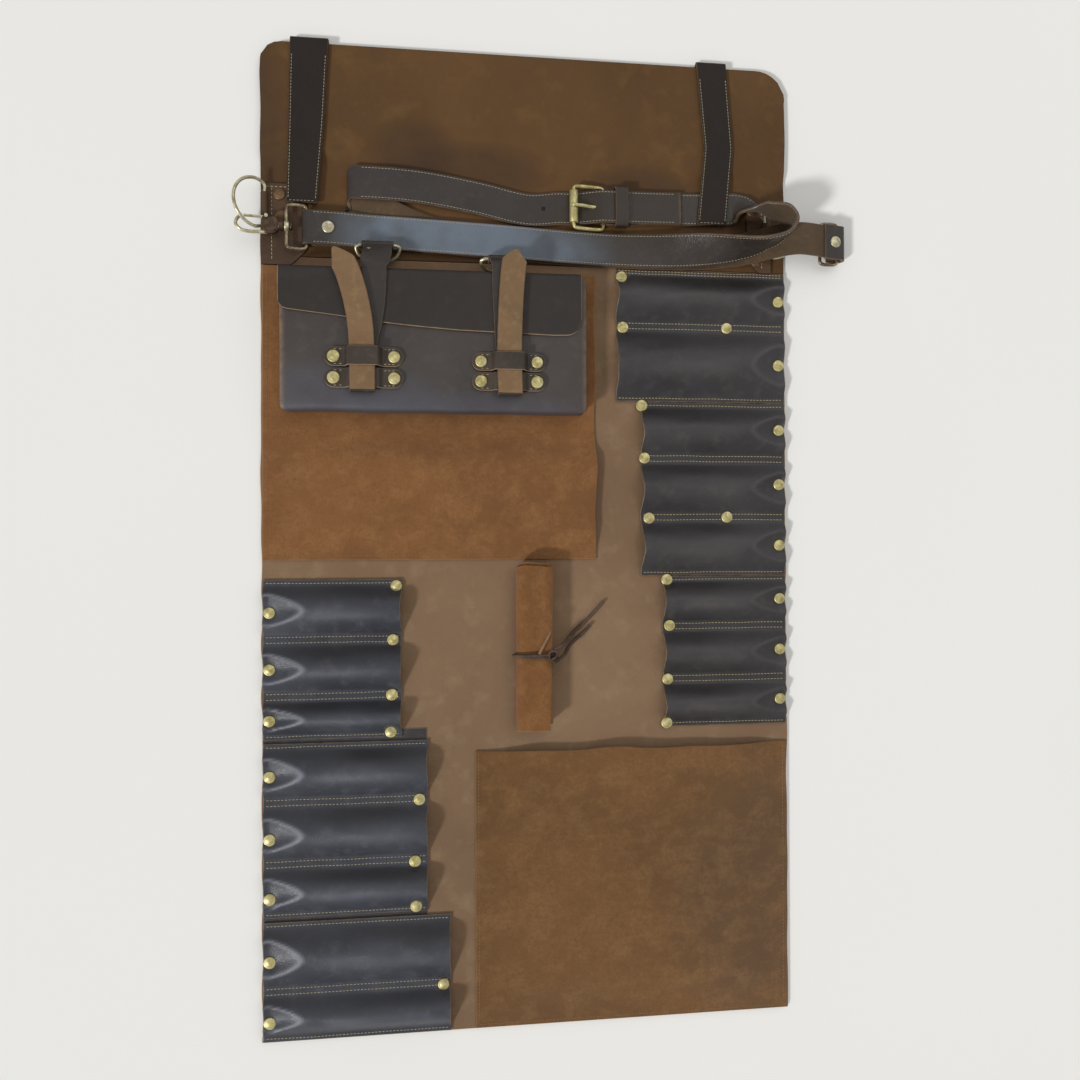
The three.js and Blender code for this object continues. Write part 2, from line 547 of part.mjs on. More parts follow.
// Each pouch strap hangs from a D-ring, runs down through two keepers and comes back up as a loose tail.
const STRAP_OVER_FLAP = POUCH_FRONT + POUCH_LEATHER + GAP + POUCH_LEATHER / 2;
const TAIL = STRAP_OVER_FLAP + 2 * (POUCH_LEATHER + GAP);
const SHOULDER = STRAP_OVER_FLAP - 0.4; // where the strap starts down behind the flap's top edge
function pouchStrap(name, hanger, run, tail, tip) {
  const ends = hanger.width / 2;
  const top = run[0];
  const start = hanger.z + 3.2;
  const dark = strap([
    [hanger.x, hanger.y, start], [hanger.x, (hanger.y + POUCH.top + 5) / 2, (start + SHOULDER) / 2 + 1.8],
    [top[0], POUCH.top + 4.5, SHOULDER + 0.9], [top[0], POUCH.top - 1, STRAP_OVER_FLAP],
    ...run.map(([x, y]) => [x, y, STRAP_OVER_FLAP]),
  ], hanger.width - 3, POUCH_LEATHER, 16);
  const sleeve = rod('x', hanger.x - ends, hanger.x + ends, 4, [0, hanger.y, hanger.z]);
  const bore = rod('x', hanger.x - ends - 1, hanger.x + ends + 1, WIRE + 0.4, [0, hanger.y, hanger.z], 12);
  const [endX, endY] = run[run.length - 1];
  const half = POUCH_STRAP_WIDTH / 2;
  const turn = box(endX - half, endX + half, endY - 1.2, endY + 1.2,
    STRAP_OVER_FLAP - POUCH_LEATHER / 2, TAIL + POUCH_LEATHER / 2);
  const pointed = (t) => Math.min(1, (1 - t) / tip + 0.02);
  const loose = strap(tail.map(([x, y]) => [x, y, TAIL]), POUCH_STRAP_WIDTH, POUCH_LEATHER, 20, pointed);
  add(name, combine([dark, sleeve, turn, loose], [bore]), STRAP);
}

const LEFT_HANGER = { x: -138, y: 261, z: 13.4, width: 28 };
const RIGHT_HANGER = { x: -28, y: 250, z: 20.5, width: 26 };
pouchStrap('pouch_strap_left', LEFT_HANGER,
  [[-140, 229], [-142.5, 197], [-147.2, 174], [-150, 158], [-150.3, 130.5]],
  [[-150.3, 130.5], [-150.4, 160], [-152.2, 189], [-157, 214], [-164.5, 236], [-175, 252]], 0.14);
pouchStrap('pouch_strap_right', RIGHT_HANGER, [[-28.3, 226], [-26.5, 182], [-22.5, 129.5]],
  [[-22.5, 129.5], [-23.2, 165], [-21.6, 212], [-19.5, 238], [-17, 256]], 0.12);

// The pouch's rings are shallow bows that hang from their sleeves.
function pouchRing(name, hanger, lean) {
  const half = 19;
  const depth = 13;
  const points = [-0.85, -0.4, 0, 0.4, 0.85].map((part) => [half * part, 0]);
  for (let i = 0; i <= 10; i += 1) {
    const angle = (i / 10) * Math.PI;
    points.push([half * Math.cos(angle), -1.5 - depth * Math.sin(angle) ** 0.8]);
  }
  const outline = points.map(([x, y]) => new THREE.Vector3(x, y, 0));
  const ring = add(name, wireLoop(outline, WIRE, new THREE.Vector3(0, 0, 1), 30), BRASS);
  ring.position.set(hanger.x, hanger.y, hanger.z);
  ring.rotation.x = THREE.MathUtils.degToRad(lean);
}
pouchRing('pouch_ring_left', LEFT_HANGER, 29);
pouchRing('pouch_ring_right', RIGHT_HANGER, 52);

// Keeper bands: riveted flat at both ends and raised in the middle, the upper ones over both layers of the
// strap and the lower ones over its first layer, with the tail on top of them.
const OVER_TAIL = TAIL + POUCH_LEATHER / 2 + GAP;
const UNDER_TAIL = OVER_TAIL - 2 * (POUCH_LEATHER + GAP);
function keeperBand(name, left, right, low, high, middle, under) {
  const rise = POUCH_STRAP_WIDTH / 2 + 4;
  const profile = new THREE.Shape();
  const line = [
    [left, POUCH_FRONT], [middle - rise - 2, POUCH_FRONT], [middle - rise, under],
    [middle + rise, under], [middle + rise + 2, POUCH_FRONT], [right, POUCH_FRONT],
  ];
  const upper = line.map(([x, z], i) => [x + (i === 1 || i === 2 ? -1 : 0) + (i === 3 || i === 4 ? 1 : 0),
    z + POUCH_LEATHER]);
  [...line, ...upper.reverse()].forEach(([x, z], i) => (
    i === 0 ? profile.moveTo(x, z) : profile.lineTo(x, z)));
  const geometry = new THREE.ExtrudeGeometry(profile, { depth: high - low, bevelEnabled: false });
  geometry.rotateX(Math.PI / 2).translate(0, high, 0);
  add(name, geometry, STRAP);
}

const BANDS = [
  { name: 'left_upper', x: [-183, -115.3], y: [150.8, 167.6], middle: -149.5, under: OVER_TAIL },
  { name: 'left_lower', x: [-183, -115.3], y: [132.2, 149.2], middle: -149.5, under: UNDER_TAIL },
  { name: 'right_upper', x: [-56, 9.6], y: [149.3, 165.2], middle: -23, under: OVER_TAIL },
  { name: 'right_lower', x: [-56, 9.6], y: [131.8, 147.8], middle: -23, under: UNDER_TAIL },
];
for (const band of BANDS) {
  keeperBand(`keeper_band_${band.name}`, band.x[0], band.x[1], band.y[0], band.y[1], band.middle,
    band.under);
  const y = (band.y[0] + band.y[1]) / 2;
  rivet(`keeper_rivet_${band.name}_a`, band.x[0] + 8, y, POUCH_FRONT + POUCH_LEATHER);
  rivet(`keeper_rivet_${band.name}_b`, band.x[1] - 8, y, POUCH_FRONT + POUCH_LEATHER);
}

// ---------- rolled tool wrap with its lace ----------
const WRAP = { x: 1, half: 19, height: 20, bottom: -172, top: -18 };
function arch(grow, samples = 14) {
  const points = [];
  for (let i = 0; i <= samples; i += 1) {
    const angle = (i / samples) * Math.PI;
    const across = Math.sign(Math.cos(angle)) * Math.abs(Math.cos(angle)) ** 0.7;
    points.push([WRAP.x + (WRAP.half + grow) * across,
      FLOOR_OF_PANEL + (WRAP.height + grow) * Math.sin(angle) ** 0.7]);
  }
  return points;
}

function alongY(points, low, high) {
  const profile = new THREE.Shape();
  points.forEach(([x, z], i) => (i === 0 ? profile.moveTo(x, z) : profile.lineTo(x, z)));
  const geometry = new THREE.ExtrudeGeometry(profile, { depth: high - low, bevelEnabled: false });
  return geometry.rotateX(Math.PI / 2).translate(0, high, 0);
}

add('tool_wrap', alongY(arch(0), WRAP.bottom, WRAP.top), SUEDE);
const LACE_THICK = 1.8;
add('wrap_lace', alongY([...arch(GAP + LACE_THICK), ...arch(GAP).reverse()], -107, -99), LACE);
const TAIL_RADIUS = 1.6;
add('lace_tail_upper', wire([
  [16, -97, 25.5], [24.5, -93, 22], [31, -89, 11], [37.5, -83, 5.2], [46, -76, 4.5], [55, -67, 4.4],
  [65, -56, 4.4],
], TAIL_RADIUS, 14), LACE);
add('lace_tail_lower', wire([
  [16, -108.8, 25.5], [25.5, -103, 20], [33, -95, 8.5], [40.5, -89, 4.6], [46.5, -84, 4.4], [53, -77, 4.4],
], TAIL_RADIUS, 12), LACE);

export default root;
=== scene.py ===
"""Leather carving tool roll, opened flat: the looks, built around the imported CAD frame.

Shapes are laid out in millimetres in the CAD frame and turned into metres as each mesh is made.
"""
import math
import random

import bpy
import numpy as np
from mathutils import Matrix, Vector, noise


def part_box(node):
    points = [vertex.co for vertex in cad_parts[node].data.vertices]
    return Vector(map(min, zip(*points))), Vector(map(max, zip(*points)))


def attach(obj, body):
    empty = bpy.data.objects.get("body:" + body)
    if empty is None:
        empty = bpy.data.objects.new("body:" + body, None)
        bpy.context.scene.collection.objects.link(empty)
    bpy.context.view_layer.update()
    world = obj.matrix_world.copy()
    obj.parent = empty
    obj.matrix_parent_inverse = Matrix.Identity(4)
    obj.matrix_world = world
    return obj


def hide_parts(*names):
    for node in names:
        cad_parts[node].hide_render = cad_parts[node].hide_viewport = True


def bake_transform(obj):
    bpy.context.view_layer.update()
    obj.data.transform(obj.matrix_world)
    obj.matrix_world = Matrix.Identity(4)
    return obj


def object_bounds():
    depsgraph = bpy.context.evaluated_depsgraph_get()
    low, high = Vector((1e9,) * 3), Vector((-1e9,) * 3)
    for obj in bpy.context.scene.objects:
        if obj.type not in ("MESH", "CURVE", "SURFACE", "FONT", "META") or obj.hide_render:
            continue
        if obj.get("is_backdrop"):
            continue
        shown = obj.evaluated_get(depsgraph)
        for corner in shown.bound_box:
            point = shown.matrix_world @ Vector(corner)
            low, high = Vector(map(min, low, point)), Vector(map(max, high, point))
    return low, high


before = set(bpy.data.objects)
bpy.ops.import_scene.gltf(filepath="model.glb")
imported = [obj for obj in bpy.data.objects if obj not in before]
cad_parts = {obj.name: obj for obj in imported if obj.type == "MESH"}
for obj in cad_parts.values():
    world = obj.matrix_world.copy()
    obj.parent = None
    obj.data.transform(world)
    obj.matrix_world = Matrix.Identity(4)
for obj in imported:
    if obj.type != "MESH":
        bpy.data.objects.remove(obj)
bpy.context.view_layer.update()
MM = 0.001
GAP = 0.3  # between two layers that lie on each other
random.seed(7)


def add_object(name, data):
    made = bpy.data.objects.new(name, data)
    bpy.context.scene.collection.objects.link(made)
    return made


# ---------- camera ----------
SENSOR, LENS = 36, 29.3
CAMERA_PLACE = (-0.0896, -0.0048, 0.7996)
CAMERA_TURN = Vector((0.0068, -0.1202, -0.0033))  # an axis as long as its angle in radians


def build_camera():
    data = bpy.data.cameras.new("camera")
    data.sensor_width = SENSOR
    data.lens = LENS
    data.clip_start = 0.01
    camera = add_object("camera", data)
    camera.rotation_mode = "QUATERNION"
    camera.rotation_quaternion = Matrix.Rotation(CAMERA_TURN.length, 3, CAMERA_TURN).to_quaternion()
    camera.location = CAMERA_PLACE
    bpy.context.scene.camera = camera


build_camera()


# ---------- materials ----------
def linear(red, green, blue):
    return tuple((c / 255 / 12.92) if c < 11 else ((c / 255 + 0.055) / 1.055) ** 2.4
                 for c in (red, green, blue)) + (1,)


class Look:
    """A material whose nodes are added one call at a time."""

    def __init__(self, name):
        self.material = bpy.data.materials.new(name)
        self.material.use_nodes = True
        self.tree = self.material.node_tree
        self.shader = self.tree.nodes["Principled BSDF"]
        self.place = self.node("ShaderNodeTexCoord").outputs["Object"]

    def surface(self, **inputs):
        """Sets inputs of the shader, each to a value or to another node's socket."""
        for name, value in inputs.items():
            self.put(self.shader.inputs[name.replace("_", " ")], value)

    def node(self, kind, **sockets):
        node = self.tree.nodes.new(kind)
        for name, value in sockets.items():
            self.put(node.inputs[name.replace("_", " ")], value)
        return node

    def put(self, socket, value):
        if isinstance(value, bpy.types.NodeSocket):
            self.tree.links.new(value, socket)
        else:
            socket.default_value = value

    def noise(self, scale, detail=4, stretch=(1, 1, 1), rough=0.55, distortion=0.0):
        spread = self.node("ShaderNodeVectorMath", Vector=self.place)
        spread.operation = "MULTIPLY"
        spread.inputs[1].default_value = stretch
        return self.node("ShaderNodeTexNoise", Vector=spread.outputs[0], Scale=scale, Detail=detail,
                         Roughness=rough, Distortion=distortion).outputs["Fac"]

    def cells(self, scale):
        node = self.node("ShaderNodeTexVoronoi", Vector=self.place, Scale=scale)
        node.feature = "DISTANCE_TO_EDGE"
        return node.outputs["Distance"]

    def span(self, value, low, high, out_low=0.0, out_high=1.0):
        node = self.node("ShaderNodeMapRange", Value=value)
        for name, number in (("From Min", low), ("From Max", high),
                             ("To Min", out_low), ("To Max", out_high)):
            node.inputs[name].default_value = number
        return node.outputs[0]

    def math(self, operation, a, b):
        node = self.tree.nodes.new("ShaderNodeMath")
        node.operation = operation
        self.put(node.inputs[0], a)
        self.put(node.inputs[1], b)
        return node.outputs[0]

    def mix(self, amount, a, b):
        node = self.tree.nodes.new("ShaderNodeMix")
        node.data_type = "RGBA"
        self.put(node.inputs["Factor"], amount)
        self.put(node.inputs["A"], a)
        self.put(node.inputs["B"], b)
        return node.outputs["Result"]

    def across(self, axis, low, high):
        """How far a point lies from low to high millimetres along an axis of the frame."""
        parts = self.node("ShaderNodeSeparateXYZ", Vector=self.place)
        return self.span(parts.outputs[axis], low * MM, high * MM)

    def spot(self, x, y, wide, tall, strength):
        """A soft oval on the XY plane: strength at its middle, 0 outside it."""
        east, north = self.across("X", x, x + wide), self.across("Y", y, y + tall)
        west, south = self.across("X", x, x - wide), self.across("Y", y, y - tall)
        reach = self.math("ADD", self.math("POWER", self.math("ADD", east, west), 2),
                          self.math("POWER", self.math("ADD", north, south), 2))
        return self.span(reach, 1.0, 0.25, 0.0, strength)

    def stains_and_painted_light(self, colour, spots):
        """Each of spots is an oval, as spot takes it, and the colour of the surface there; these patches
        serve as painted shadows and painted sheens as well as plain darker patches.
        """
        for *oval, patch_colour in spots:
            ragged = self.span(self.noise(40, 4), 0.25, 0.6, 0.6, 1.0)
            share = self.math("MULTIPLY", self.spot(*oval), ragged)
            colour = self.mix(share, colour, linear(*patch_colour))
        return colour

    def marked(self, name):
        """What a mesh's own attribute says at each point."""
        node = self.tree.nodes.new("ShaderNodeAttribute")
        node.attribute_name = name
        return node.outputs["Fac"]

    def bump(self, height, depth, strength=0.6):
        node = self.node("ShaderNodeBump", Height=height, Strength=strength, Distance=depth)
        self.surface(Normal=node.outputs[0])


def leather(name, tone, deep, pale, edge, rough=0.5, blotch=9.0, grain=760.0, scuffs=0.3, nap=0.0,
            shine=0.45, spots=(), painted_fold_light=None):
    """Grain leather: blotches from handling, fine pebbled grain, pale scuffs and worn edges.
    painted_fold_light gives the colours of a painted shade and of a painted highlight, where the mesh marks
    them."""
    tone, deep, pale, edge = (linear(*shade) for shade in (tone, deep, pale, edge))
    look = Look(name)
    broad = look.noise(blotch, 5, rough=0.6, distortion=0.4)
    middle = look.noise(blotch * 9, 5, rough=0.6)
    fine = look.noise(1500, 3)
    colour = look.mix(look.span(broad, 0.3, 0.7), deep, tone)
    colour = look.mix(look.span(middle, 0.52, 0.78, 0.0, 0.55), colour, pale)
    colour = look.mix(look.span(fine, 0.3, 0.5, 0.35, 0.0), colour, deep)
    scratches = look.noise(55, 3, (1, 7, 1), 0.7, 1.2)
    colour = look.mix(look.span(scratches, 0.66, 0.74, 0.0, scuffs), colour, pale)
    colour = look.stains_and_painted_light(colour, spots)
    # Painted shade where the mesh marks it, then a painted highlight.
    if painted_fold_light:
        colour = look.mix(look.marked("crease"), colour, linear(*painted_fold_light[0]))
        colour = look.mix(look.marked("crest_highlight"), colour, linear(*painted_fold_light[1]))
    breaks = look.span(look.noise(130, 3), 0.3, 0.62, 0.35, 1.0)
    colour = look.mix(look.math("MULTIPLY", look.marked("wear"), breaks), colour, edge)
    look.surface(Base_Color=colour, Specular_IOR_Level=shine,
                 Roughness=look.span(middle, 0.3, 0.7, rough - 0.09, rough + 0.1))
    if nap:
        look.surface(Sheen_Weight=nap, Sheen_Roughness=0.5)
    pebble = look.span(look.cells(grain), 0.0, 0.25)
    height = look.math("ADD", look.math("MULTIPLY", pebble, 0.45), look.math("MULTIPLY", middle, 1.4))
    look.bump(height, 0.00035, 0.5)
    return look.material


def suede(name, tone, deep, pale, brushed=(0.85, 1, 1), spots=()):
    """Napped suede: soft brushed patches of light and dark and a fibrous surface."""
    tone, deep, pale = linear(*tone), linear(*deep), linear(*pale)
    look = Look(name)
    broad = look.noise(6, 6, brushed, 0.66, 0.3)
    patch = look.noise(60, 6, brushed, 0.7, 0.2)
    mottle = look.noise(260, rough=0.7)
    fibre = look.noise(900, 4, (1, 0.5, 1), 0.7)
    colour = look.mix(look.span(broad, 0.3, 0.66), deep, tone)
    colour = look.stains_and_painted_light(colour, spots)
    colour = look.mix(look.span(patch, 0.45, 0.75, 0.0, 0.6), colour, pale)
    colour = look.mix(look.span(mottle, 0.3, 0.52, 0.5, 0.0), colour, deep)
    colour = look.mix(look.span(fibre, 0.32, 0.52, 0.5, 0.0), colour, deep)
    colour = look.mix(look.math("MULTIPLY", look.marked("wear"), 0.5), colour, pale)
    look.surface(Base_Color=colour, Roughness=0.95, Specular_IOR_Level=0.2,
                 Sheen_Weight=0.12, Sheen_Roughness=0.6)
    look.bump(look.math("ADD", fibre, look.math("MULTIPLY", patch, 1.5)), 0.0005, 0.7)
    return look.material


def metal(name, tone, deep, rough=0.34):
    """Aged brass: tarnish in patches, fine scratches and brighter worn high spots."""
    look = Look(name)
    patch = look.noise(170, 5, rough=0.6, distortion=0.6)
    lines = look.noise(900, 2, (1, 9, 1), 0.6)
    colour = look.mix(look.span(patch, 0.35, 0.65), linear(*deep), linear(*tone))
    look.surface(Base_Color=colour, Metallic=0.72,
                 Roughness=look.span(patch, 0.3, 0.7, rough + 0.16, rough))
    look.bump(look.math("ADD", patch, look.math("MULTIPLY", lines, 0.3)), 0.0001, 0.4)
    return look.material


def thread(name, tone, deep):
    """Waxed thread: a fine fuzz in its colour and on its surface."""
    look = Look(name)
    fuzz = look.noise(1800, 3)
    colour = look.mix(look.span(fuzz, 0.35, 0.6), linear(*deep), linear(*tone))
    look.surface(Base_Color=colour, Roughness=0.65)
    look.bump(fuzz, 0.0002)
    return look.material


# Colours are red, green and blue as the photo shows them: first the body's, then the deeper and the
# paler patches', then, for leather, the worn edges'.
TAUPE = leather("taupe_flesh_leather", (136, 110, 84), (114, 89, 66), (150, 127, 101), (156, 130, 100),
                0.85, 5.0, 1100, 0.25, 0.08, shine=0.25)
# Painted shadows of the shoulder strap's raised parts on the brown top band, and a darker strip along the
# band's left edge.
FLAP_SHADOW_TONE = (54, 38, 26)
FLAP_SHADOWS_AND_DARK_EDGE = [(-106, 350, 44, 34, 0.5, FLAP_SHADOW_TONE), (-54, 334, 84, 30, 0.55, FLAP_SHADOW_TONE), (101, 330, 50, 20, 0.5, FLAP_SHADOW_TONE),
             (-246, 350, 34, 130, 0.45, FLAP_SHADOW_TONE)]
UMBER = leather("umber_flap_leather", (99, 69, 36), (78, 54, 28), (112, 82, 48), (56, 40, 30),
                0.7, 4.5, 700, 0.25, shine=0.25, spots=FLAP_SHADOWS_AND_DARK_EDGE)
TAB = leather("umber_tab_leather", (86, 62, 42), (60, 44, 31), (104, 80, 58), (66, 50, 40),
              0.6, 16, 700, shine=0.3)
# The slot leathers' painted_fold_light colours are a painted shade and a painted highlight.
DARK = leather("dark_slot_leather", (57, 53, 54), (35, 32, 33), (74, 68, 67), (118, 96, 74),
               0.44, 9, 620, 0.16, shine=0.5, painted_fold_light=((32, 28, 28), (92, 86, 86)))
# The left slots' copy of the slot leather, bluer and paler: a painted sheen.
DARK_SLOT_PAINTED_SHEEN = leather("dark_slot_leather_painted_sheen", (68, 70, 78), (42, 43, 50), (86, 86, 92), (118, 100, 80),
                    0.44, 9, 620, 0.16, painted_fold_light=((32, 31, 36), (118, 118, 128)))
# Bluish patches along the pouch's lower edge: a painted sheen.
POUCH_PAINTED_SHEEN = (78, 80, 92)
POUCH = leather("dark_pouch_leather", (70, 62, 57), (51, 46, 44), (86, 76, 69), (120, 98, 78),
                0.5, 8, 620, 0.2,
                spots=[(-190, 120, 130, 40, 0.45, POUCH_PAINTED_SHEEN), (-60, 108, 150, 26, 0.35, POUCH_PAINTED_SHEEN)])
POUCH_FLAP = leather("dark_pouch_flap_leather", (50, 43, 39), (37, 32, 29), (62, 54, 48), (120, 108, 92),
                     0.55, 8, 620, 0.2, shine=0.35)
STRAP_TONES = (56, 48, 43), (38, 33, 29), (74, 66, 59), (96, 76, 58)
# A dark brown patch on the strap leathers around the buckle.
DARK_BROWN_PATCH = (105, 303, 130, 44, 0.75, (46, 36, 26))
# Blue-grey patches painted on the buckle side of the strap: a painted reflection of the sky.
PAINTED_SKY_SHEEN = (98, 108, 120)
STRAP = leather("strap_leather", *STRAP_TONES, 0.4, 12, 620, 0.18, shine=0.4, spots=[DARK_BROWN_PATCH])
STRAP_PAINTED_SHEEN = leather("strap_leather_painted_sheen", *STRAP_TONES, 0.36, 12, 620, 0.18,
                     spots=[(-84, 272, 100, 60, 0.95, PAINTED_SKY_SHEEN), (-10, 268, 90, 50, 0.7, PAINTED_SKY_SHEEN), DARK_BROWN_PATCH])
CLOSURE = leather("closure_leather", (39, 31, 25), (29, 23, 19), (50, 41, 34), (80, 64, 50),
                  0.65, 10, 900, 0.1, shine=0.25)
BAND = leather("keeper_leather", (68, 57, 48), (48, 41, 35), (86, 73, 62), (104, 86, 68),
               0.45, 18, 700, 0.2, shine=0.35)
FLESH = leather("flesh_side_leather", (134, 106, 77), (112, 88, 62), (152, 126, 96), (92, 70, 52),
                0.88, 14, 1100, 0.2, 0.08, shine=0.25)
# A darker copy of the flesh leather for the shoulder strap's underside: painted shade.
STRAP_FLESH_PAINTED_SHADE = leather("strap_flesh_painted_shade", (92, 74, 54), (70, 56, 41), (110, 91, 68), (80, 62, 46),
                      0.88, 14, 1100, 0.2, 0.08, shine=0.25)
SUEDE = suede("brown_suede", (130, 87, 48), (106, 70, 38), (150, 108, 66))
SUEDE_DARK = suede("dark_brown_suede", (118, 82, 45), (92, 64, 35), (136, 100, 62),
                   spots=[(215, -330, 100, 150, 0.6, (84, 66, 48))])
WRAP = suede("wrap_suede", (126, 84, 44), (96, 63, 32), (152, 110, 66), (1, 0.7, 1))
BRASS = metal("aged_brass", (214, 204, 148), (158, 146, 92), 0.4)
NICKEL_BRASS = metal("pale_brass", (208, 202, 172), (150, 140, 104), 0.28)
HOOK_METAL = metal("hook_bronze", (172, 156, 128), (96, 78, 58), 0.26)
BRONZE = metal("dark_bronze", (104, 84, 66), (58, 44, 34), 0.3)
COPPER = metal("dull_copper", (128, 100, 72), (92, 70, 50), 0.45)
THREAD = thread("tan_thread", (186, 172, 134), (146, 132, 96))
DULL_THREAD = thread("dull_thread", (140, 112, 80), (108, 84, 60))
PALE_THREAD = thread("pale_thread", (184, 174, 146), (138, 128, 104))
LACE = leather("lace_leather", (96, 78, 66), (56, 44, 37), (124, 104, 90), (112, 88, 72),
               0.75, 40, 900, shine=0.25)


# ---------- mesh helpers ----------
def smooth(value):
    value = np.clip(value, 0, 1)
    return value * value * (3 - 2 * value)


def rough(x, y, scale, seed=0.0):
    """Smooth noise from -1 to 1 for points in millimetres."""
    return np.vectorize(lambda a, b: noise.noise(Vector((a / scale, b / scale, seed))) * 1.6)(x, y)


def mesh_piece(name, points, faces, materials, kinds=None, wear=None):
    mesh = bpy.data.meshes.new(name)
    mesh.from_pydata((np.asarray(points, float) * MM).tolist(), [], faces)
    for material in materials:
        mesh.materials.append(material)
    mesh.polygons.foreach_set("use_smooth", [True] * len(mesh.polygons))
    if kinds is not None:
        mesh.polygons.foreach_set("material_index", kinds)
    layer = mesh.attributes.new("wear", "FLOAT", "POINT")
    layer.data.foreach_set("value", np.zeros(len(points)) if wear is None else wear)
    mesh.update()
    return add_object(name, mesh)


def normals_of(grid):
    along = np.gradient(grid, axis=0)
    across = np.gradient(grid, axis=1)
    normal = np.cross(along, across)
    return normal / np.maximum(np.linalg.norm(normal, axis=2, keepdims=True), 1e-9)


ROUNDED = 0.4  # how much of a sheet's outermost row its rounded edge takes up
SHARP = 60  # degrees between faces, over which a cut edge stays sharp


def slab(name, grid, thick, top, under=None, rim=None, plain=()):
    """A closed sheet with rounded edges. grid holds its middle surface as rows of points.
    An end named in plain, "first" or "last", is cut square, to meet another sheet."""
    grid = np.asarray(grid, float)
    rows, columns, _ = grid.shape
    normal = normals_of(grid)
    inner = grid.copy()
    if "first" not in plain:
        inner[0] += (grid[1] - grid[0]) * ROUNDED
    if "last" not in plain:
        inner[-1] += (grid[-2] - grid[-1]) * ROUNDED
    inner[:, 0] += (grid[:, 1] - grid[:, 0]) * ROUNDED
    inner[:, -1] += (grid[:, -2] - grid[:, -1]) * ROUNDED
    upper = (inner + normal * thick / 2).reshape(-1, 3)
    lower = (inner - normal * thick / 2).reshape(-1, 3)
    ring = ([(0, j) for j in range(columns)] + [(i, columns - 1) for i in range(1, rows)]
            + [(rows - 1, j) for j in range(columns - 2, -1, -1)] + [(i, 0) for i in range(rows - 2, 0, -1)])
    edge = np.array([grid[i, j] for i, j in ring])
    count = rows * columns
    index = np.arange(count).reshape(rows, columns)
    a, b = index[:-1, :-1].ravel(), index[1:, :-1].ravel()
    c, d = index[1:, 1:].ravel(), index[:-1, 1:].ravel()
    faces = np.stack([a, b, c, d], 1).tolist() + (np.stack([d, c, b, a], 1) + count).tolist()
    kinds = [0] * len(a) + [1] * len(a)
    for k, (i, j) in enumerate(ring):
        following = (k + 1) % len(ring)
        here, after = int(index[i, j]), int(index[ring[following]])
        middle, middle_after = 2 * count + k, 2 * count + following
        faces.append([here, after, middle_after, middle])
        faces.append([middle, middle_after, after + count, here + count])
    kinds += [2] * (2 * len(ring))
    first = np.arange(rows) + (2 if "first" in plain else 0)
    last = np.arange(rows)[::-1] + (2 if "last" in plain else 0)
    sides = np.minimum(np.arange(columns), np.arange(columns)[::-1])
    fade = np.clip(1 - np.minimum.outer(np.minimum(first, last), sides), 0, 1)
    wear = np.concatenate([fade.ravel(), fade.ravel(), [fade[i, j] for i, j in ring]])
    piece = mesh_piece(name, np.concatenate([upper, lower, edge]), faces,
                       [top, under or top, rim or top], kinds, wear)
    if plain:
        piece.data.set_sharp_from_angle(angle=math.radians(SHARP))
    return piece


def ticks(low, high, count, rim=0.9):
    """Even values from low to high, with one more close to each end, where a sheet's edge rounds off."""
    step = math.copysign(rim, high - low)
    return np.concatenate([[low], np.linspace(low + step, high - step, count), [high]])


def flat_sheet(xs, ys, height):
    """A grid over x and y whose height is height(x, y). Its upper side is the normal's side."""
    x, y = np.meshgrid(xs, ys, indexing="ij")
    return np.stack([x, y, height(x, y)], 2)


def curve(points, steps):
    """A smooth line through points, as rows of point and roll, by a centripetal Catmull-Rom spline."""
    points = np.array([list(p) + [0] * (4 - len(p)) for p in points], float)
    ends = np.vstack([2 * points[0] - points[1], points, 2 * points[-1] - points[-2]])
    found = []
    for t in np.linspace(0, len(points) - 1, steps):
        k = min(int(t), len(points) - 2)
        p0, p1, p2, p3 = ends[k:k + 4]
        gaps = [max(np.linalg.norm((b - a)[:3]) ** 0.5, 1e-4) for a, b in ((p0, p1), (p1, p2), (p2, p3))]
        out = (p1 - p0) / gaps[0] - (p2 - p0) / (gaps[0] + gaps[1]) + (p2 - p1) / gaps[1]
        into = (p2 - p1) / gaps[1] - (p3 - p1) / (gaps[1] + gaps[2]) + (p3 - p2) / gaps[2]
        out, into, u = out * gaps[1], into * gaps[1], t - k
        found.append((2 * u**3 - 3 * u**2 + 1) * p1 + (u**3 - 2 * u**2 + u) * out
                     + (3 * u**2 - 2 * u**3) * p2 + (u**3 - u**2) * into)
        found[-1][3] = p1[3] + (p2[3] - p1[3]) * u
    return np.array(found)


def ribbon(points, width, steps, half=None, across=7):
    """Rows of points across a strap that follows a line. Roll lifts the strap's left edge."""
    line = curve(points, steps)
    along = np.gradient(line[:, :3], axis=0)
    along /= np.linalg.norm(along, axis=1, keepdims=True)
    side = np.cross((0, 0, 1), along)
    side /= np.linalg.norm(side, axis=1, keepdims=True)
    rise = np.cross(along, side)
    roll = np.radians(line[:, 3:4])
    lateral = side * np.cos(roll) + rise * np.sin(roll)
    scale = np.ones(steps) if half is None else np.array([half(t) for t in np.linspace(0, 1, steps)])
    offsets = ticks(-width / 2, width / 2, across)
    return line[:, None, :3] + lateral[:, None, :] * offsets[None, :, None] * scale[:, None, None]


def resample(line, spacing):
    steps = np.linalg.norm(np.diff(line[:, :3], axis=0), axis=1)
    run = np.concatenate([[0], np.cumsum(steps)])
    count = max(int(run[-1] / spacing), 1)
    at = (np.arange(count) + 0.5) * run[-1] / count
    return np.stack([np.interp(at, run, line[:, k]) for k in range(line.shape[1])], 1)


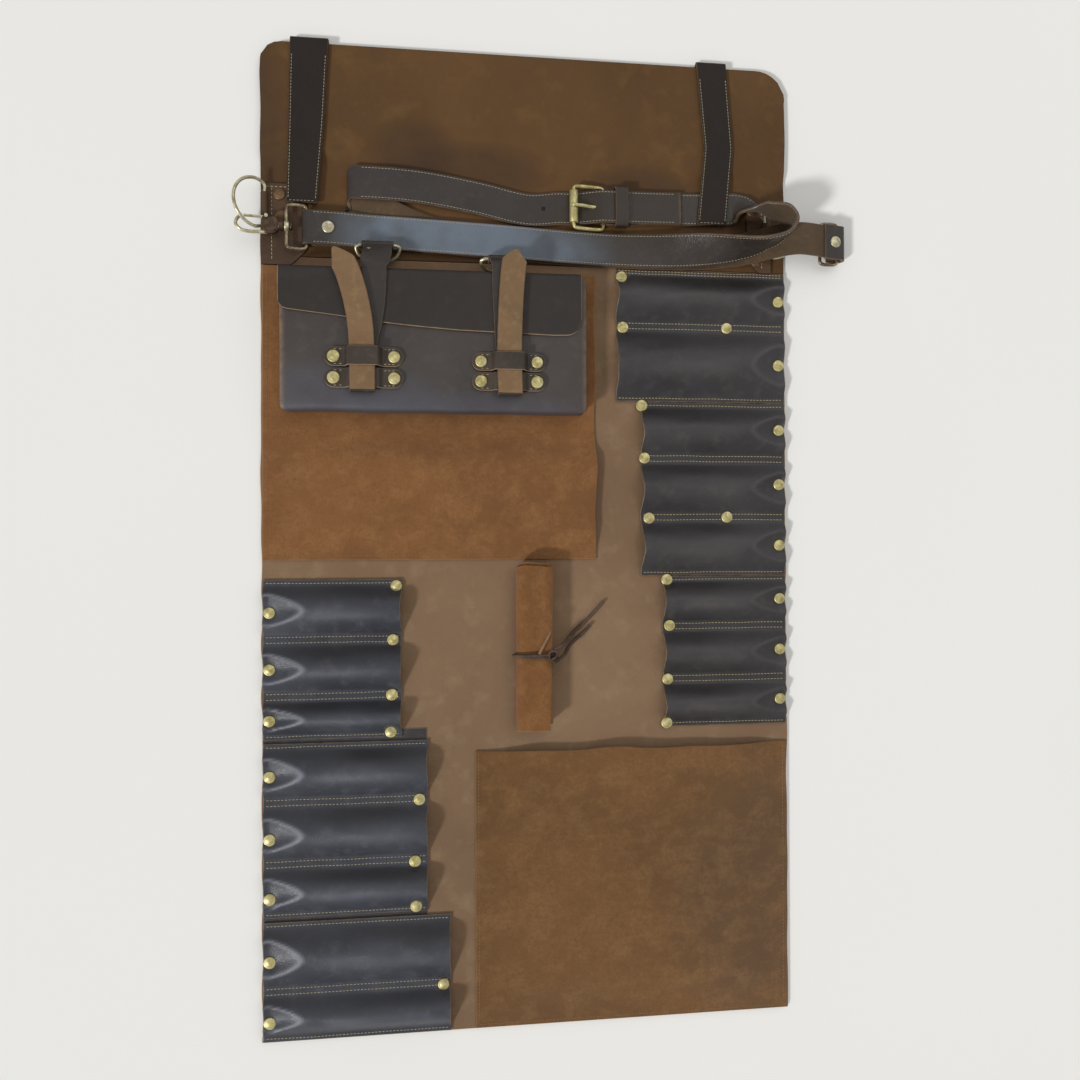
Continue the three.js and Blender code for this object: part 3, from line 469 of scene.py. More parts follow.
def ring_faces(start, rings, sides, caps=True):
    """The faces round rings of points that follow each other from start, and over both ends."""
    faces = []
    for ring in range(rings - 1):
        for k in range(sides):
            a, b = start + ring * sides + k, start + ring * sides + (k + 1) % sides
            faces.append([a, b, b + sides, a + sides])
    if caps:
        faces.append([start + k for k in range(sides - 1, -1, -1)])
        faces.append([start + (rings - 1) * sides + k for k in range(sides)])
    return faces


STITCH_RINGS = [(-0.5, 0.25), (-0.36, 0.85), (0.0, 1.0), (0.36, 0.85), (0.5, 0.25)]
STITCH_SIDES = 5
FINE = (2.1, 2.9, 0.3, PALE_THREAD)  # length, spacing, radius and look
DULL = (2.4, 3.3, 0.3, DULL_THREAD)


def stitch_mesh(name, lines, length=2.6, spacing=3.5, radius=0.36, look=THREAD):
    """Separate raised stitches along lines. Each line's rows are point and surface normal."""
    points, faces = [], []
    for line in lines:
        spots = resample(np.asarray(line, float), spacing)
        if len(spots) < 2:
            continue
        directions = np.gradient(spots[:, :3], axis=0)
        for spot, way in zip(spots, directions):
            up = spot[3:] / np.linalg.norm(spot[3:])
            way = way - up * (way @ up)
            way /= np.linalg.norm(way)
            side = np.cross(up, way)
            way = way + side * random.uniform(-0.07, 0.07)
            start = len(points)
            for offset, girth in STITCH_RINGS:
                centre = spot[:3] + way * offset * length + up * radius * (0.35 - 2.6 * offset * offset)
                for k in range(STITCH_SIDES):
                    turn = 2 * math.pi * k / STITCH_SIDES
                    points.append(centre + (side * math.cos(turn) + up * math.sin(turn)) * radius * girth)
            faces += ring_faces(start, len(STITCH_RINGS), STITCH_SIDES)
    return mesh_piece(name, points, faces, [look])


RIVET_PROFILE = [(1.0, -0.1), (1.0, 0.32), (0.95, 0.5), (0.84, 0.62), (0.72, 0.6), (0.64, 0.66),
                 (0.42, 0.84), (0.2, 0.94)]


def rivets(name, places, radius=5.3, height=2.2, look=BRASS):
    """Double-cap rivets. Each place is x, y, z and, for one that leans, a normal."""
    sides = 28
    points, faces = [], []
    for place in places:
        normal = Vector(place[3:6]) if len(place) > 3 else Vector((0, 0, 1))
        frame_of = normal.to_track_quat("Z", "X").to_matrix()
        start = len(points)
        size = radius * random.uniform(0.97, 1.03)
        for r, z in RIVET_PROFILE:
            for k in range(sides):
                turn = 2 * math.pi * k / sides
                local = Vector((r * size * math.cos(turn), r * size * math.sin(turn), z * height))
                points.append(Vector(place[:3]) + frame_of @ local)
        points.append(Vector(place[:3]) + normal * height)
        faces += ring_faces(start, len(RIVET_PROFILE), sides, caps=False)
        top = start + (len(RIVET_PROFILE) - 1) * sides
        faces += [[top + k, top + (k + 1) % sides, len(points) - 1] for k in range(sides)]
        faces.append([start + k for k in range(sides - 1, -1, -1)])
    return mesh_piece(name, points, faces, [look])


def tube(name, line, radius, look, closed=False, sides=12, flatten=1.0, taper=None):
    """A round wire or lace along a line of points."""
    line = np.asarray(line, float)
    count = len(line)
    after, before = np.roll(line, -1, 0), np.roll(line, 1, 0)
    along = after - before
    if not closed:
        along[0], along[-1] = line[1] - line[0], line[-1] - line[-2]
    along /= np.linalg.norm(along, axis=1, keepdims=True)
    side = np.cross(along[0], (0.13, 0.21, 1))
    side /= np.linalg.norm(side)
    points, faces = [], []
    for i in range(count):
        side = side - along[i] * (side @ along[i])
        side /= np.linalg.norm(side)
        rise = np.cross(along[i], side)
        size = radius * (taper(i / (count - 1)) if taper else 1)
        for k in range(sides):
            turn = 2 * math.pi * k / sides
            points.append(line[i] + side * math.cos(turn) * size + rise * math.sin(turn) * size * flatten)
    rings = count if closed else count - 1
    for i in range(rings):
        for k in range(sides):
            a, b = i * sides + k, i * sides + (k + 1) % sides
            c, d = ((i + 1) % count) * sides + (k + 1) % sides, ((i + 1) % count) * sides + k
            faces.append([a, d, c, b])
    if not closed:
        faces.append([k for k in range(sides)])
        faces.append([(count - 1) * sides + k for k in range(sides - 1, -1, -1)])
    return mesh_piece(name, points, faces, [look])


def bulge(value, power):
    """A sine or cosine swollen towards 1 and -1, for outlines between an oval and a box."""
    return math.copysign(abs(value) ** power, value)


def closed_curve(points, steps):
    wrapped = np.array(points[-2:] + points + points[:2], float)
    return curve(wrapped, (len(points) + 3) * steps)[2 * steps:-2 * steps, :3][:len(points) * steps]


def place(piece, body, slot, *nodes):
    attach(piece, body)
    if nodes:
        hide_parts(*nodes)
    return piece


def corner(node, which):
    """A CAD node's lowest (0) or highest (1) corner, in millimetres."""
    return np.array(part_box(node)[which]) / MM


def corners(node):
    return corner(node, 0), corner(node, 1)


def stitch_row(start, end, z, count):
    """A straight row of stitches on a level sheet, from one x and y to another."""
    up = np.zeros((count, 3)) + (0, 0, 1)
    return np.column_stack([np.linspace(start[0], end[0], count), np.linspace(start[1], end[1], count),
                            np.full(count, z), up])


def moved(matrix, points):
    return [matrix @ Vector(point) for point in points]


# ---------- panel ----------
HALF = corner("panel_main", 1)[0]
PANEL_THICK = corner("panel_main", 1)[2]
ON_PANEL = PANEL_THICK + GAP
TOP_Y = corner("panel_flap", 1)[1]
BOTTOM_Y = corner("panel_bottom", 0)[1]
FLAP_FOLD = corner("panel_main", 1)[1] + GAP
LOWER_FOLD = corner("panel_main", 0)[1] - GAP
BOTTOM_FOLD = corner("panel_lower", 0)[1] - GAP
BAND_EDGE = 252  # where the brown top band is laid over the taupe panel
CUT = -250  # where the middle sheet and the foot sheet meet
RIGHT_PINCHES = [224, 164, 103, 52, -5, -55, -102.5, -149]
LEFT_PINCHES = [-63, -113, -158, -207, -262, -314, -369, -422]


def panel_edge(y, pinches):
    """How far the slots' rivets pull the panel's edge in at each y."""
    pull = sum(np.exp(-((y - at) / 12) ** 2) for at in pinches)
    return HALF + 0.7 - 1.6 * pull + 0.8 * rough(y, y * 0, 40, pinches[0])


def corner_drop(x):
    """How far the flap's rounded corners fall below its top edge."""
    drop = np.zeros_like(x)
    for side, radius in ((-1, 18.0), (1, 28.0)):
        into = np.clip(side * x - (HALF - radius), 0, radius)
        drop += radius - np.sqrt(radius**2 - into**2)
    return drop


def panel_sheet(name, low, high, rows, look, plain):
    across = ticks(-HALF, HALF, 84) / HALF
    y = ticks(low, high, rows)
    across, y = np.meshgrid(across, y, indexing="ij")
    x = across * np.where(across > 0, panel_edge(y, RIGHT_PINCHES), panel_edge(y, LEFT_PINCHES))
    reach = np.clip((y - TOP_Y + 30) / 30, 0, 1)
    y = y - reach * corner_drop(across * HALF)
    z = PANEL_THICK / 2 + PANEL_THICK * smooth((y - FLAP_FOLD + 4) / 12)
    grid = np.stack([x, y, z], 2).transpose(1, 0, 2)[:, ::-1]
    piece = slab(name, grid, PANEL_THICK, look, plain=plain)
    return piece


flap = panel_sheet("panel_top_band", BAND_EDGE, TOP_Y, 90, UMBER, ())
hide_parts("panel_flap")
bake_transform(flap)
middle = panel_sheet("panel_middle", CUT, BAND_EDGE, 150, TAUPE, ("first",))
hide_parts("panel_main")
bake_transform(middle)
foot = panel_sheet("panel_foot", BOTTOM_Y, CUT, 70, TAUPE, ("last",))
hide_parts("panel_lower", "panel_bottom")
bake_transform(foot)


# ---------- tool slots ----------
SLOT_THICK = 1.8
LAND = 4.5  # from a seam to the foot of the dome
SLOT_RISE = 12.3
EDGE = corner("right_slots_top", 1)[0]
TOP_SEAM = 250
SLOT_TOP = ON_PANEL + SLOT_THICK
RIGHT_RIVETS = [(83, 243), (84, 196.5), (183, 198), (101.5, 124.5), (104, 76), (108, 20.5),
                (182.5, 21.4), (124.6, -36.5), (127, -79), (125, -128.5), (124, -168.8)]
LEFT_RIVETS = [(-123, -40), (-126, -88), (-127, -137), (-128, -170)]
LOWER_RIVETS = [(-103, -231), (-107, -286), (-106, -326)]
BOTTOM_RIVETS = [(-82, -397)]
EDGE_RIVET = EDGE - 5.8
SLOT_PINS = (RIGHT_RIVETS + LEFT_RIVETS + LOWER_RIVETS + BOTTOM_RIVETS
             + [(EDGE_RIVET, y) for y in RIGHT_PINCHES] + [(-EDGE_RIVET, y) for y in LEFT_PINCHES])


def slot_layout(edge, mouth, seams, x, y):
    """Where a point lies on a slot strip: u from the outer edge to the mouth, v across its own slot, the
    height of the dome there and of the dish that the edge rivet pulls into it, and how far apart they are."""
    high = np.full(np.shape(y), seams[0], float)
    low = np.full(np.shape(y), seams[1], float)
    for k in range(1, len(seams) - 1):
        high = np.where(y < seams[k], seams[k], high)
        low = np.where(y < seams[k], seams[k + 1], low)
    v = np.clip((y - low - LAND) / (high - low - 2 * LAND), 0, 1)
    u = np.clip((x - edge) / (mouth - edge), 0, 1)
    dome = np.sin(np.pi * v) ** 1.25 * (0.68 + 0.32 * smooth((u - 0.05) / 0.65))
    from_rivet = np.abs(x - edge - np.sign(mouth - edge) * 5) / 38
    dish = from_rivet ** 1.3 + 0.42 * (np.abs(v - 0.5) / 0.4) ** 1.6 + 0.05
    return u, v, dome, dish, np.clip((dome - dish) / 0.1, -1, 1)


def slot_shape(edge, mouth, seams):
    """The height of a slot strip above its lands, as a function of x and y. It is flat round a rivet."""
    pins = [(x, y) for x, y in SLOT_PINS if seams[-1] < y < seams[0] and x * edge > 0]

    def shape(x, y):
        u, v, dome, dish, gap = slot_layout(edge, mouth, seams, x, y)
        ridge = np.where(gap > 0, dish, dome) - 0.025 * (1 - np.abs(gap)) ** 2
        lip = 1 - 0.06 * smooth((u - 0.9) / 0.1)
        creases = 0.75 * rough(x * 0.3, y, 11, seams[0]) * dome * smooth((u - 0.2) / 0.3)
        sag = 0.5 * rough(x * 0.8, y * 0.4, 30, seams[-1]) * dome
        held = 1.0
        for pin_x, pin_y in pins:
            held = held * smooth((np.hypot(x - pin_x, y - pin_y) - 4.4) / 4.2)
        return np.clip(SLOT_RISE * ridge * lip + creases + sag, 0, SLOT_RISE + 0.8) * held
    return shape


def mark_slots(strip, edge, mouth, seams):
    """Notes on each point a painted shade, over the upper side of each slot and by its lower seam, and a
    painted highlight along the dish's ridge and the crest, where waxed leather also pales as it bends.
    """
    spots = np.empty(len(strip.data.vertices) * 3)
    strip.data.vertices.foreach_get("co", spots)
    x, y = spots[0::3] / MM, spots[1::3] / MM
    u, v, dome, dish, gap = slot_layout(edge, mouth, seams, x, y)
    # Painted shade: the upper side of each slot and the crease by its lower seam.
    upper_side = smooth((v - 0.56) / 0.3) * (0.9 - 0.5 * smooth((v - 0.93) / 0.07))
    crease = upper_side + 0.45 * smooth((0.14 - v) / 0.14)
    patchy = 0.75 + 0.4 * rough(x * 0.4, y, 24, seams[0])
    # Painted highlight along the ridge and the crest, partly the paling of waxed leather where it bends.
    line = (0.8 if edge < 0 else 0.28) * np.exp(-((dome - dish) / 0.085) ** 2) * smooth(dome / 0.25)
    along = smooth((u - 0.25) / 0.15) * (0.9 - 0.6 * smooth((u - 0.6) / 0.4))
    crest_highlight = 0.3 * np.exp(-((v - 0.42) / 0.13) ** 2) * along
    for name, values in (("crease", crease * patchy), ("crest_highlight", np.clip(line + crest_highlight * patchy, 0, 1))):
        layer = strip.data.attributes.new(name, "FLOAT", "POINT")
        layer.data.foreach_set("value", np.clip(values, 0, 1))


def slot_strip(node, body, edge, mouth, seams):
    shape = slot_shape(edge, mouth, seams)
    xs = ticks(min(edge, mouth), max(edge, mouth), 64)
    ys = ticks(seams[-1], seams[0], 34 * (len(seams) - 1))
    grid = flat_sheet(xs, ys, lambda x, y: ON_PANEL + SLOT_THICK / 2 + shape(x, y))
    u = (grid[:, :, 0] - edge) / (mouth - edge)
    grid[:, :, 0] += (1.0 * rough(grid[:, :, 1], grid[:, :, 1] * 0, 17, mouth)
                      - 1.0 * np.sign(mouth - edge) * (grid[:, :, 2] / 16)) * np.clip(u, 0, 1) ** 6
    # The left slots take the bluer, paler copy of the slot leather, a painted sheen.
    strip = slab(f"{node}_leather", grid, SLOT_THICK, DARK_SLOT_PAINTED_SHEEN if edge < 0 else DARK)
    mark_slots(strip, edge, mouth, seams)
    place(strip, body, "dark_leather", node)
    rows = []
    inward = np.sign(mouth - edge)
    for k, seam in enumerate(seams):
        offsets = [-3.2] if k == 0 else [3.2] if k == len(seams) - 1 else [-2.5, 2.5]
        if seam == TOP_SEAM:
            offsets.append(-0.9)
        for offset in offsets:
            x = np.linspace(edge + inward * 2.5, mouth - inward * 2.5, 40)
            y = seam + offset + 0.35 * rough(x, x * 0 + seam, 30)
            z = ON_PANEL + SLOT_THICK + shape(x, y)
            rows.append(np.column_stack([x, y, z, np.zeros((len(x), 3)) + (0, 0, 1)]))
    thread_look = PALE_THREAD if edge < 0 else THREAD
    place(stitch_mesh(f"{node}_stitches", rows, 2.3, 3.1, 0.34, thread_look), body, "strap_leather")


slot_strip("right_slots_top", "panel", EDGE, 77, [TOP_SEAM, 198.4, 128.3])
slot_strip("right_slots_middle", "panel", EDGE, 100, [128.1, 75.7, 21.4, -32.9])
slot_strip("right_slots_lower", "panel", EDGE, 120, [-33.1, -79.6, -128.2, -172.4])
slot_strip("left_slots_top", "panel", -EDGE, -118, [-34, -87, -137, -175])
slot_strip("left_slots_middle", "lower", -EDGE, -95, [-178, -230, -284, -331])
slot_strip("left_slots_lower", "bottom", -EDGE, -75, [-334.5, -395, -439])


def crease_backing(name, mouth, low, high):
    """Thin dark leather under two blocks of slots, which shows in the crease between them."""
    xs, ys = ticks(-EDGE - 0.6, mouth, 30), ticks(low, high, 12)
    backing = slab(name, flat_sheet(xs, ys, lambda x, y: x * 0 + ON_PANEL - 0.16), 0.24, DARK)
    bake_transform(backing)


crease_backing("crease_backing_upper", -96, LOWER_FOLD - 8, LOWER_FOLD + 8)
crease_backing("crease_backing_lower", -96, BOTTOM_FOLD - 8, BOTTOM_FOLD + 8)


def slot_rivets(name, body, places):
    place(rivets(name, [(x, y, SLOT_TOP + 0.05) for x, y in places]), body, "brass")


slot_rivets("right_slot_rivets", "panel", RIGHT_RIVETS + [(EDGE_RIVET, y) for y in RIGHT_PINCHES])
slot_rivets("left_slot_rivets", "panel", LEFT_RIVETS + [(-EDGE_RIVET, y) for y in LEFT_PINCHES[:3]])
slot_rivets("lower_slot_rivets", "lower", LOWER_RIVETS + [(-EDGE_RIVET, y) for y in LEFT_PINCHES[3:6]])
slot_rivets("bottom_slot_rivets", "bottom", BOTTOM_RIVETS + [(-EDGE_RIVET, y) for y in LEFT_PINCHES[6:]])


# ---------- suede pockets ----------
SUEDE_THICK = 1.6
SUEDE_RISE = 5.4
SUEDE_TOP = corner("suede_pocket_upper", 1)[1]


def bump(value, start, full):
    return smooth((value - start) / (full - start))


def upper_rise(x, y):
    free = bump(x, -230, -150) * bump(y, -12, 14) * bump(-y, -92, -70)
    return SUEDE_RISE * free + 0.9 * rough(x, y, 55, 3.0) * free + 0.25 * rough(x, y, 14, 5.0) * free


def lower_rise(x, y):
    free = bump(x, -48, 10) * bump(-x, -234, -190) * bump(y, -434, -390)
    swell = 0.75 + 0.25 * bump(y, -300, -200)
    return SUEDE_RISE * free * swell + 1.1 * rough(x, y, 70, 8.0) * free + 0.25 * rough(x, y, 15, 2.0) * free


def seam_row(points, height, spacing_height):
    """Stitch places along a polyline on a sheet whose upper side is height(x, y)."""
    line = []
    for (x0, y0), (x1, y1) in zip(points[:-1], points[1:]):
        for t in np.linspace(0, 1, 30, endpoint=False):
            x, y = x0 + (x1 - x0) * t, y0 + (y1 - y0) * t
            line.append([x, y, float(height(np.array(x), np.array(y))) + spacing_height, 0, 0, 1])
    return np.array(line)


upper = flat_sheet(ticks(-EDGE, 58, 70), ticks(-17, SUEDE_TOP, 64),
                   lambda x, y: ON_PANEL + SUEDE_THICK / 2 + upper_rise(x, y))
upper[:, :, 0] += 1.2 * rough(upper[:, :, 1], upper[:, :, 1] * 0, 45, 9.0) * bump(upper[:, :, 0], 20, 58)
upper_pocket = slab("upper_suede_pocket", upper, SUEDE_THICK, SUEDE)
place(upper_pocket, "panel", "suede", "suede_pocket_upper")
ON_SUEDE = ON_PANEL + SUEDE_THICK
place(stitch_mesh("upper_pocket_stitches", [
    seam_row([(-EDGE + 4, 242), (-EDGE + 4, -13), (55, -13)], upper_rise, ON_SUEDE)], *DULL),
    "panel", "strap_leather")

lower = flat_sheet(ticks(-53, EDGE, 70), ticks(-439, -190, 60),
                   lambda x, y: ON_PANEL + SUEDE_THICK / 2 + lower_rise(x, y))
lower[:, :, 1] += 1.6 * rough(lower[:, :, 0], lower[:, :, 0] * 0, 50, 4.0) * bump(lower[:, :, 1], -230, -190)
lower_pocket = slab("lower_suede_pocket", lower, SUEDE_THICK, SUEDE_DARK)
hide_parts("suede_pocket_lower", "suede_pocket_bottom")
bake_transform(lower_pocket)
SIDE_SEAMS = -50, EDGE - 3.5
for body, ends in (("lower", (-192, BOTTOM_FOLD + 3)), ("bottom", (BOTTOM_FOLD - 13, -435))):
    sides = [seam_row([(x, ends[0]), (x, ends[1])], lower_rise, ON_SUEDE) for x in SIDE_SEAMS]
    if body == "bottom":
        sides.append(seam_row([(x, -435.5) for x in SIDE_SEAMS], lower_rise, ON_SUEDE))
    place(stitch_mesh(f"{body}_pocket_stitches", sides, *DULL), body, "strap_leather")
crossing = [seam_row([(x, BOTTOM_FOLD + 3), (x, BOTTOM_FOLD - 13)], lower_rise, ON_SUEDE)
            for x in SIDE_SEAMS]
crossing = stitch_mesh("crease_pocket_stitches", crossing, *DULL)
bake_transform(crossing)


# ---------- straps ----------
def edge_lines(grid, inset, lift, first=0, last=None):
    """Lines of place and normal along both edges of a strap's rows, for its stitches."""
    normal = normals_of(grid)
    across = grid[:, -1] - grid[:, 0]
    across /= np.linalg.norm(across, axis=1, keepdims=True)
    up = normal[:, grid.shape[1] // 2]
    return [np.column_stack([grid[:, 0] + across * inset + up * lift, up])[first:last],
            np.column_stack([grid[:, -1] - across * inset + up * lift, up])[first:last]]


def turn_rows(centre, radius, start, end, steps, y_low, y_high, across=7):
    """Rows of a strap that turns round a bar along Y, from one angle to another in the XZ plane."""
    rows = []
    for angle in np.radians(np.linspace(start, end, steps)):
        x = centre[0] + radius * math.cos(angle)
        z = centre[1] + radius * math.sin(angle)
        rows.append([(x, y, z) for y in ticks(y_low, y_high, across)])
    return np.array(rows)


def run_rows(points, y_low, y_high, across=7):
    """Rows of a strap that lies along X through x and z points, with its edges at two y values."""
    line = curve([(x, 0, z) for x, z in points], 6 * len(points))
    return np.array([[(x, y, z) for y in ticks(y_low, y_high, across)] for x, _, z, _ in line])


STRAP_WIDTH = 30
STRAP_THICK = 2.6
LAID = ON_PANEL + STRAP_THICK / 2
OVER = LAID + STRAP_THICK + GAP
LEFT_EYE = (-200, 276, 8.4)
RIGHT_EYE = (290, 279, 8.9)
BUCKLE_BAR = (66, 5.9)  # x and z
BUCKLE_Y = 304.5

tail_under = run_rows([(-170, 6.2), (-184, 5.9), (-196, 5.6)], 261, 291)
round_eye = turn_rows((LEFT_EYE[0], LEFT_EYE[2]), 2.85, 262, 98, 9, 261, 291)
buckle_run = ribbon([
    (-199, 276, 11.3), (-186, 276, 10.9), (-170, 275.9, 9.4), (-152, 275.6, OVER), (-95, 273.5, OVER),
    (-30, 271, OVER), (30, 268, OVER), (75, 266.6, OVER), (118, 266.5, 9.4, 8), (156, 267.2, 15.4, 32),
    (188, 268, 21.6, 60), (212, 270.5, 29.6, 82), (229, 277, 33, 88), (236, 287, 33.9, 86),
    (230, 297, 32.4, 95), (217, 301.5, 26.4, 95), (205, 305, 17.6, 60), (197.5, 308.5, 9.6, 20),
    (190.5, 309.8, 4.7), (183, 309.6, 4.1), (170, 309, LAID), (150, 308, LAID),
    (110, 307, LAID), (82, 305.2, LAID), (68, 304.5, LAID),
], STRAP_WIDTH, 190)
buckle_rows = np.concatenate([tail_under, round_eye, buckle_run])
# Its upper face carries the painted sky reflection, and its underside the flesh side darkened as painted
# shade.
buckle_strap = slab("shoulder_strap_buckle_side", buckle_rows, STRAP_THICK, STRAP_PAINTED_SHEEN, STRAP_FLESH_PAINTED_SHADE)
place(buckle_strap, "panel", "strap_leather", "shoulder_strap_buckle_half")
place(stitch_mesh("buckle_side_stitches", edge_lines(buckle_run, 2.0, STRAP_THICK / 2, 3, -6), *FINE),
      "panel", "strap_leather")
for name, low, high in (("low", 289.6, 301.4), ("high", 307.6, 319.4)):
    bight = np.concatenate([
        turn_rows(BUCKLE_BAR, 2.4, 268, 92, 10, low, high, 4),
        run_rows([(68, 8.1), (75, 7.3), (83, 6.3)], low, high, 4)])
    place(slab(f"buckle_bight_{name}", bight, 1.7, STRAP, FLESH), "panel", "strap_leather")

under_run = ribbon([
    (-160, 307, LAID), (-135, 294.5, LAID), (-108, 282, LAID), (-78, 274, LAID), (-30, 270, LAID),
    (30, 267, LAID), (75, 266, LAID), (118, 265.8, LAID), (156, 267, LAID), (178, 269, LAID),
    (188, 270.4, 4.5), (205, 273.2, 8.2), (218, 276, 12.6), (236, 279.5, 16.1), (250, 280.8, 17.6),
    (264, 280, 17.6), (275, 279.4, 15.2), (286, 279, 12.7),
], STRAP_WIDTH, 120)
upper_run = ribbon([
    (140, 307.5, OVER), (104, 306.8, OVER), (86, 306, 8.8), (74, 305.4, 10.8), (62, 305, 10.8),
    (50, 304.6, 7.4), (38, 304.3, 4.2), (24, 304, LAID), (-3, 301.5, LAID), (-50, 310.5, LAID),
    (-95, 317, LAID + 1), (-125, 318.5, OVER), (-160, 319, OVER),
], STRAP_WIDTH, 120)
bend_rows = []
for angle in np.radians(np.linspace(-80, 80, 11)):
    share = 0.5 + 0.5 * math.sin(angle)
    bend_rows.append(under_run[0] * (1 - share) + upper_run[-1][::-1] * share)
    bend_rows[-1][:, 0] = -160.5 - 3.4 * math.cos(angle)
    bend_rows[-1][:, 2] = (LAID + OVER) / 2 + (OVER - LAID) / 2 * math.sin(angle)
holes_rows = np.concatenate([under_run[::-1], np.array(bend_rows), upper_run[::-1, ::-1]])
# Its underside is the flesh side darkened as painted shade.
holes_strap = slab("shoulder_strap_holes_side", holes_rows, STRAP_THICK, STRAP, STRAP_FLESH_PAINTED_SHADE)
place(holes_strap, "panel", "strap_leather", "shoulder_strap_holes_half")
top_run = upper_run[::-1, ::-1]
place(stitch_mesh("holes_side_stitches", edge_lines(top_run, 2.0, STRAP_THICK / 2, 2, -2), *FINE),
      "panel", "strap_leather")

folded_end = np.concatenate([
    run_rows([(273.8, 18.4), (279, 16.8), (284, 15.6), (288, 14.6)], 263, 295),
    turn_rows((290.4, RIGHT_EYE[2]), 5.2, 82, -80, 14, 263, 295),
    run_rows([(289, 3.9), (285, 4.3), (281, 5.2)], 263, 295)])
place(slab("strap_folded_end", folded_end, 2.2, STRAP, FLESH), "panel", "strap_leather")
end_rivets = rivets("strap_end_rivets", [(-181, 276, 12.2, 0.06, 0, 1), (285, 279, 16.5, 0.16, 0, 1)],
                    look=NICKEL_BRASS)
place(end_rivets, "panel", "brass", "strap_rivet_left", "strap_rivet_right")

keeper_low, keeper_high = corners("strap_keeper_loop")
keeper_centre = (keeper_low + keeper_high) / 2
keeper_rows = []
for angle in np.linspace(-math.pi / 2, 1.5 * math.pi, 49):
    reach = (keeper_high - keeper_low)[1:] / 2 - 0.8
    y = keeper_centre[1] + reach[0] * bulge(math.cos(angle), 0.35)
    z = keeper_centre[2] + reach[1] * bulge(math.sin(angle), 0.35)
    keeper_rows.append([(x, y, z) for x in ticks(keeper_high[0], keeper_low[0], 5)])
# One face of the keeper takes the flesh side darkened as painted shade.
keeper = slab("strap_keeper", keeper_rows, 1.5, STRAP_FLESH_PAINTED_SHADE, STRAP, STRAP)
place(keeper, "panel", "strap_leather", "strap_keeper_loop")

HOLE = Look("hole_shadow")
HOLE.surface(Base_Color=HOLE.mix(HOLE.noise(400), linear(14, 12, 11), linear(34, 28, 24)), Roughness=0.95)
holes = rivets("strap_holes", [(10.6, 303, LAID + STRAP_THICK / 2 - 0.35)],
               radius=2.3, height=0.6, look=HOLE.material)
place(holes, "panel", "strap_leather")


def closure_strap(side, left_edge, right_edge):
    """One strap from its run behind the flap, round the top edge and down over the front."""
    thick = 2.1
    bend_y, bend_z, bend_radius = TOP_Y + 0.8, 3.85, 2.8
    outer_low = corner(f"closure_anchor_{side}", 0)[1]
    behind, round_bend = 24, 13
    path = [(y, thick / 2) for y in np.linspace(outer_low, bend_y - 1, behind)]
    path += [(bend_y + bend_radius * math.cos(a), bend_z + bend_radius * math.sin(a))
             for a in np.radians(np.linspace(-80, 80, round_bend))]
    bottom = min(left_edge[-1][1], right_edge[-1][1]) + 0.5
    path += [(y, bend_z + bend_radius) for y in np.concatenate([
        np.linspace(bend_y - 1, bottom + 1, 50), [bottom]])]
    path[0:1] = [path[0], (outer_low + 1, thick / 2)]
    rows = []
    for k, (y, z) in enumerate(path):
        in_front = k > behind + 2
        edges = []
        for line in (left_edge, right_edge):
            ys, xs = [p[1] for p in line][::-1], [p[0] for p in line][::-1]
            edges.append(np.interp(y, ys, xs) if in_front else xs[-1])
        rows.append([(x, y, z) for x in ticks(edges[0], edges[1], 8)])
    rows = np.array(rows)
    strap = slab(f"closure_{side}_leather", rows, thick, CLOSURE, FLESH)
    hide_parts(f"closure_anchor_{side}", f"closure_strap_{side}")
    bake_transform(strap)
    lines = edge_lines(rows, 1.9, thick / 2, 42, -2)
    y = rows[-1, 0, 1] + 1.9
    row = stitch_row((rows[-1, 0, 0] + 2.4, y), (rows[-1, -1, 0] - 2.4, y), rows[-1, 0, 2] + thick / 2, 20)
    place(stitch_mesh(f"closure_{side}_stitches", lines + [row], *FINE), f"closure_{side}", "strap_leather")


closure_strap("left", [(-214.5, 442), (-216, 370), (-218, 298)], [(-181, 442), (-185, 370), (-191, 298)])
closure_strap("right", [(154.5, 442), (161.5, 365), (154.5, 293)], [(183, 442), (189, 365), (182.5, 293)])


# ---------- side tabs and rings ----------
def ring_line(centre, tilt, side):
    """A D-ring's wire: its straight bar along Y and its bow out to one side, lifted by tilt degrees."""
    radius, leg = 21.0, 8.0
    points = [(0, radius * part) for part in (-0.86, -0.43, 0, 0.43, 0.86)]
    points += [(-leg - radius * math.sin(a), radius * math.cos(a)) for a in np.linspace(0, math.pi, 13)]
    lean = math.radians(tilt)
    placed = [(centre[0] - side * x * math.cos(lean), centre[1] + y, centre[2] - x * math.sin(lean), 0)
              for x, y in points]
    return closed_curve(placed, 8)


TAB_THICK = 2.2
ON_TAB = ON_PANEL + TAB_THICK


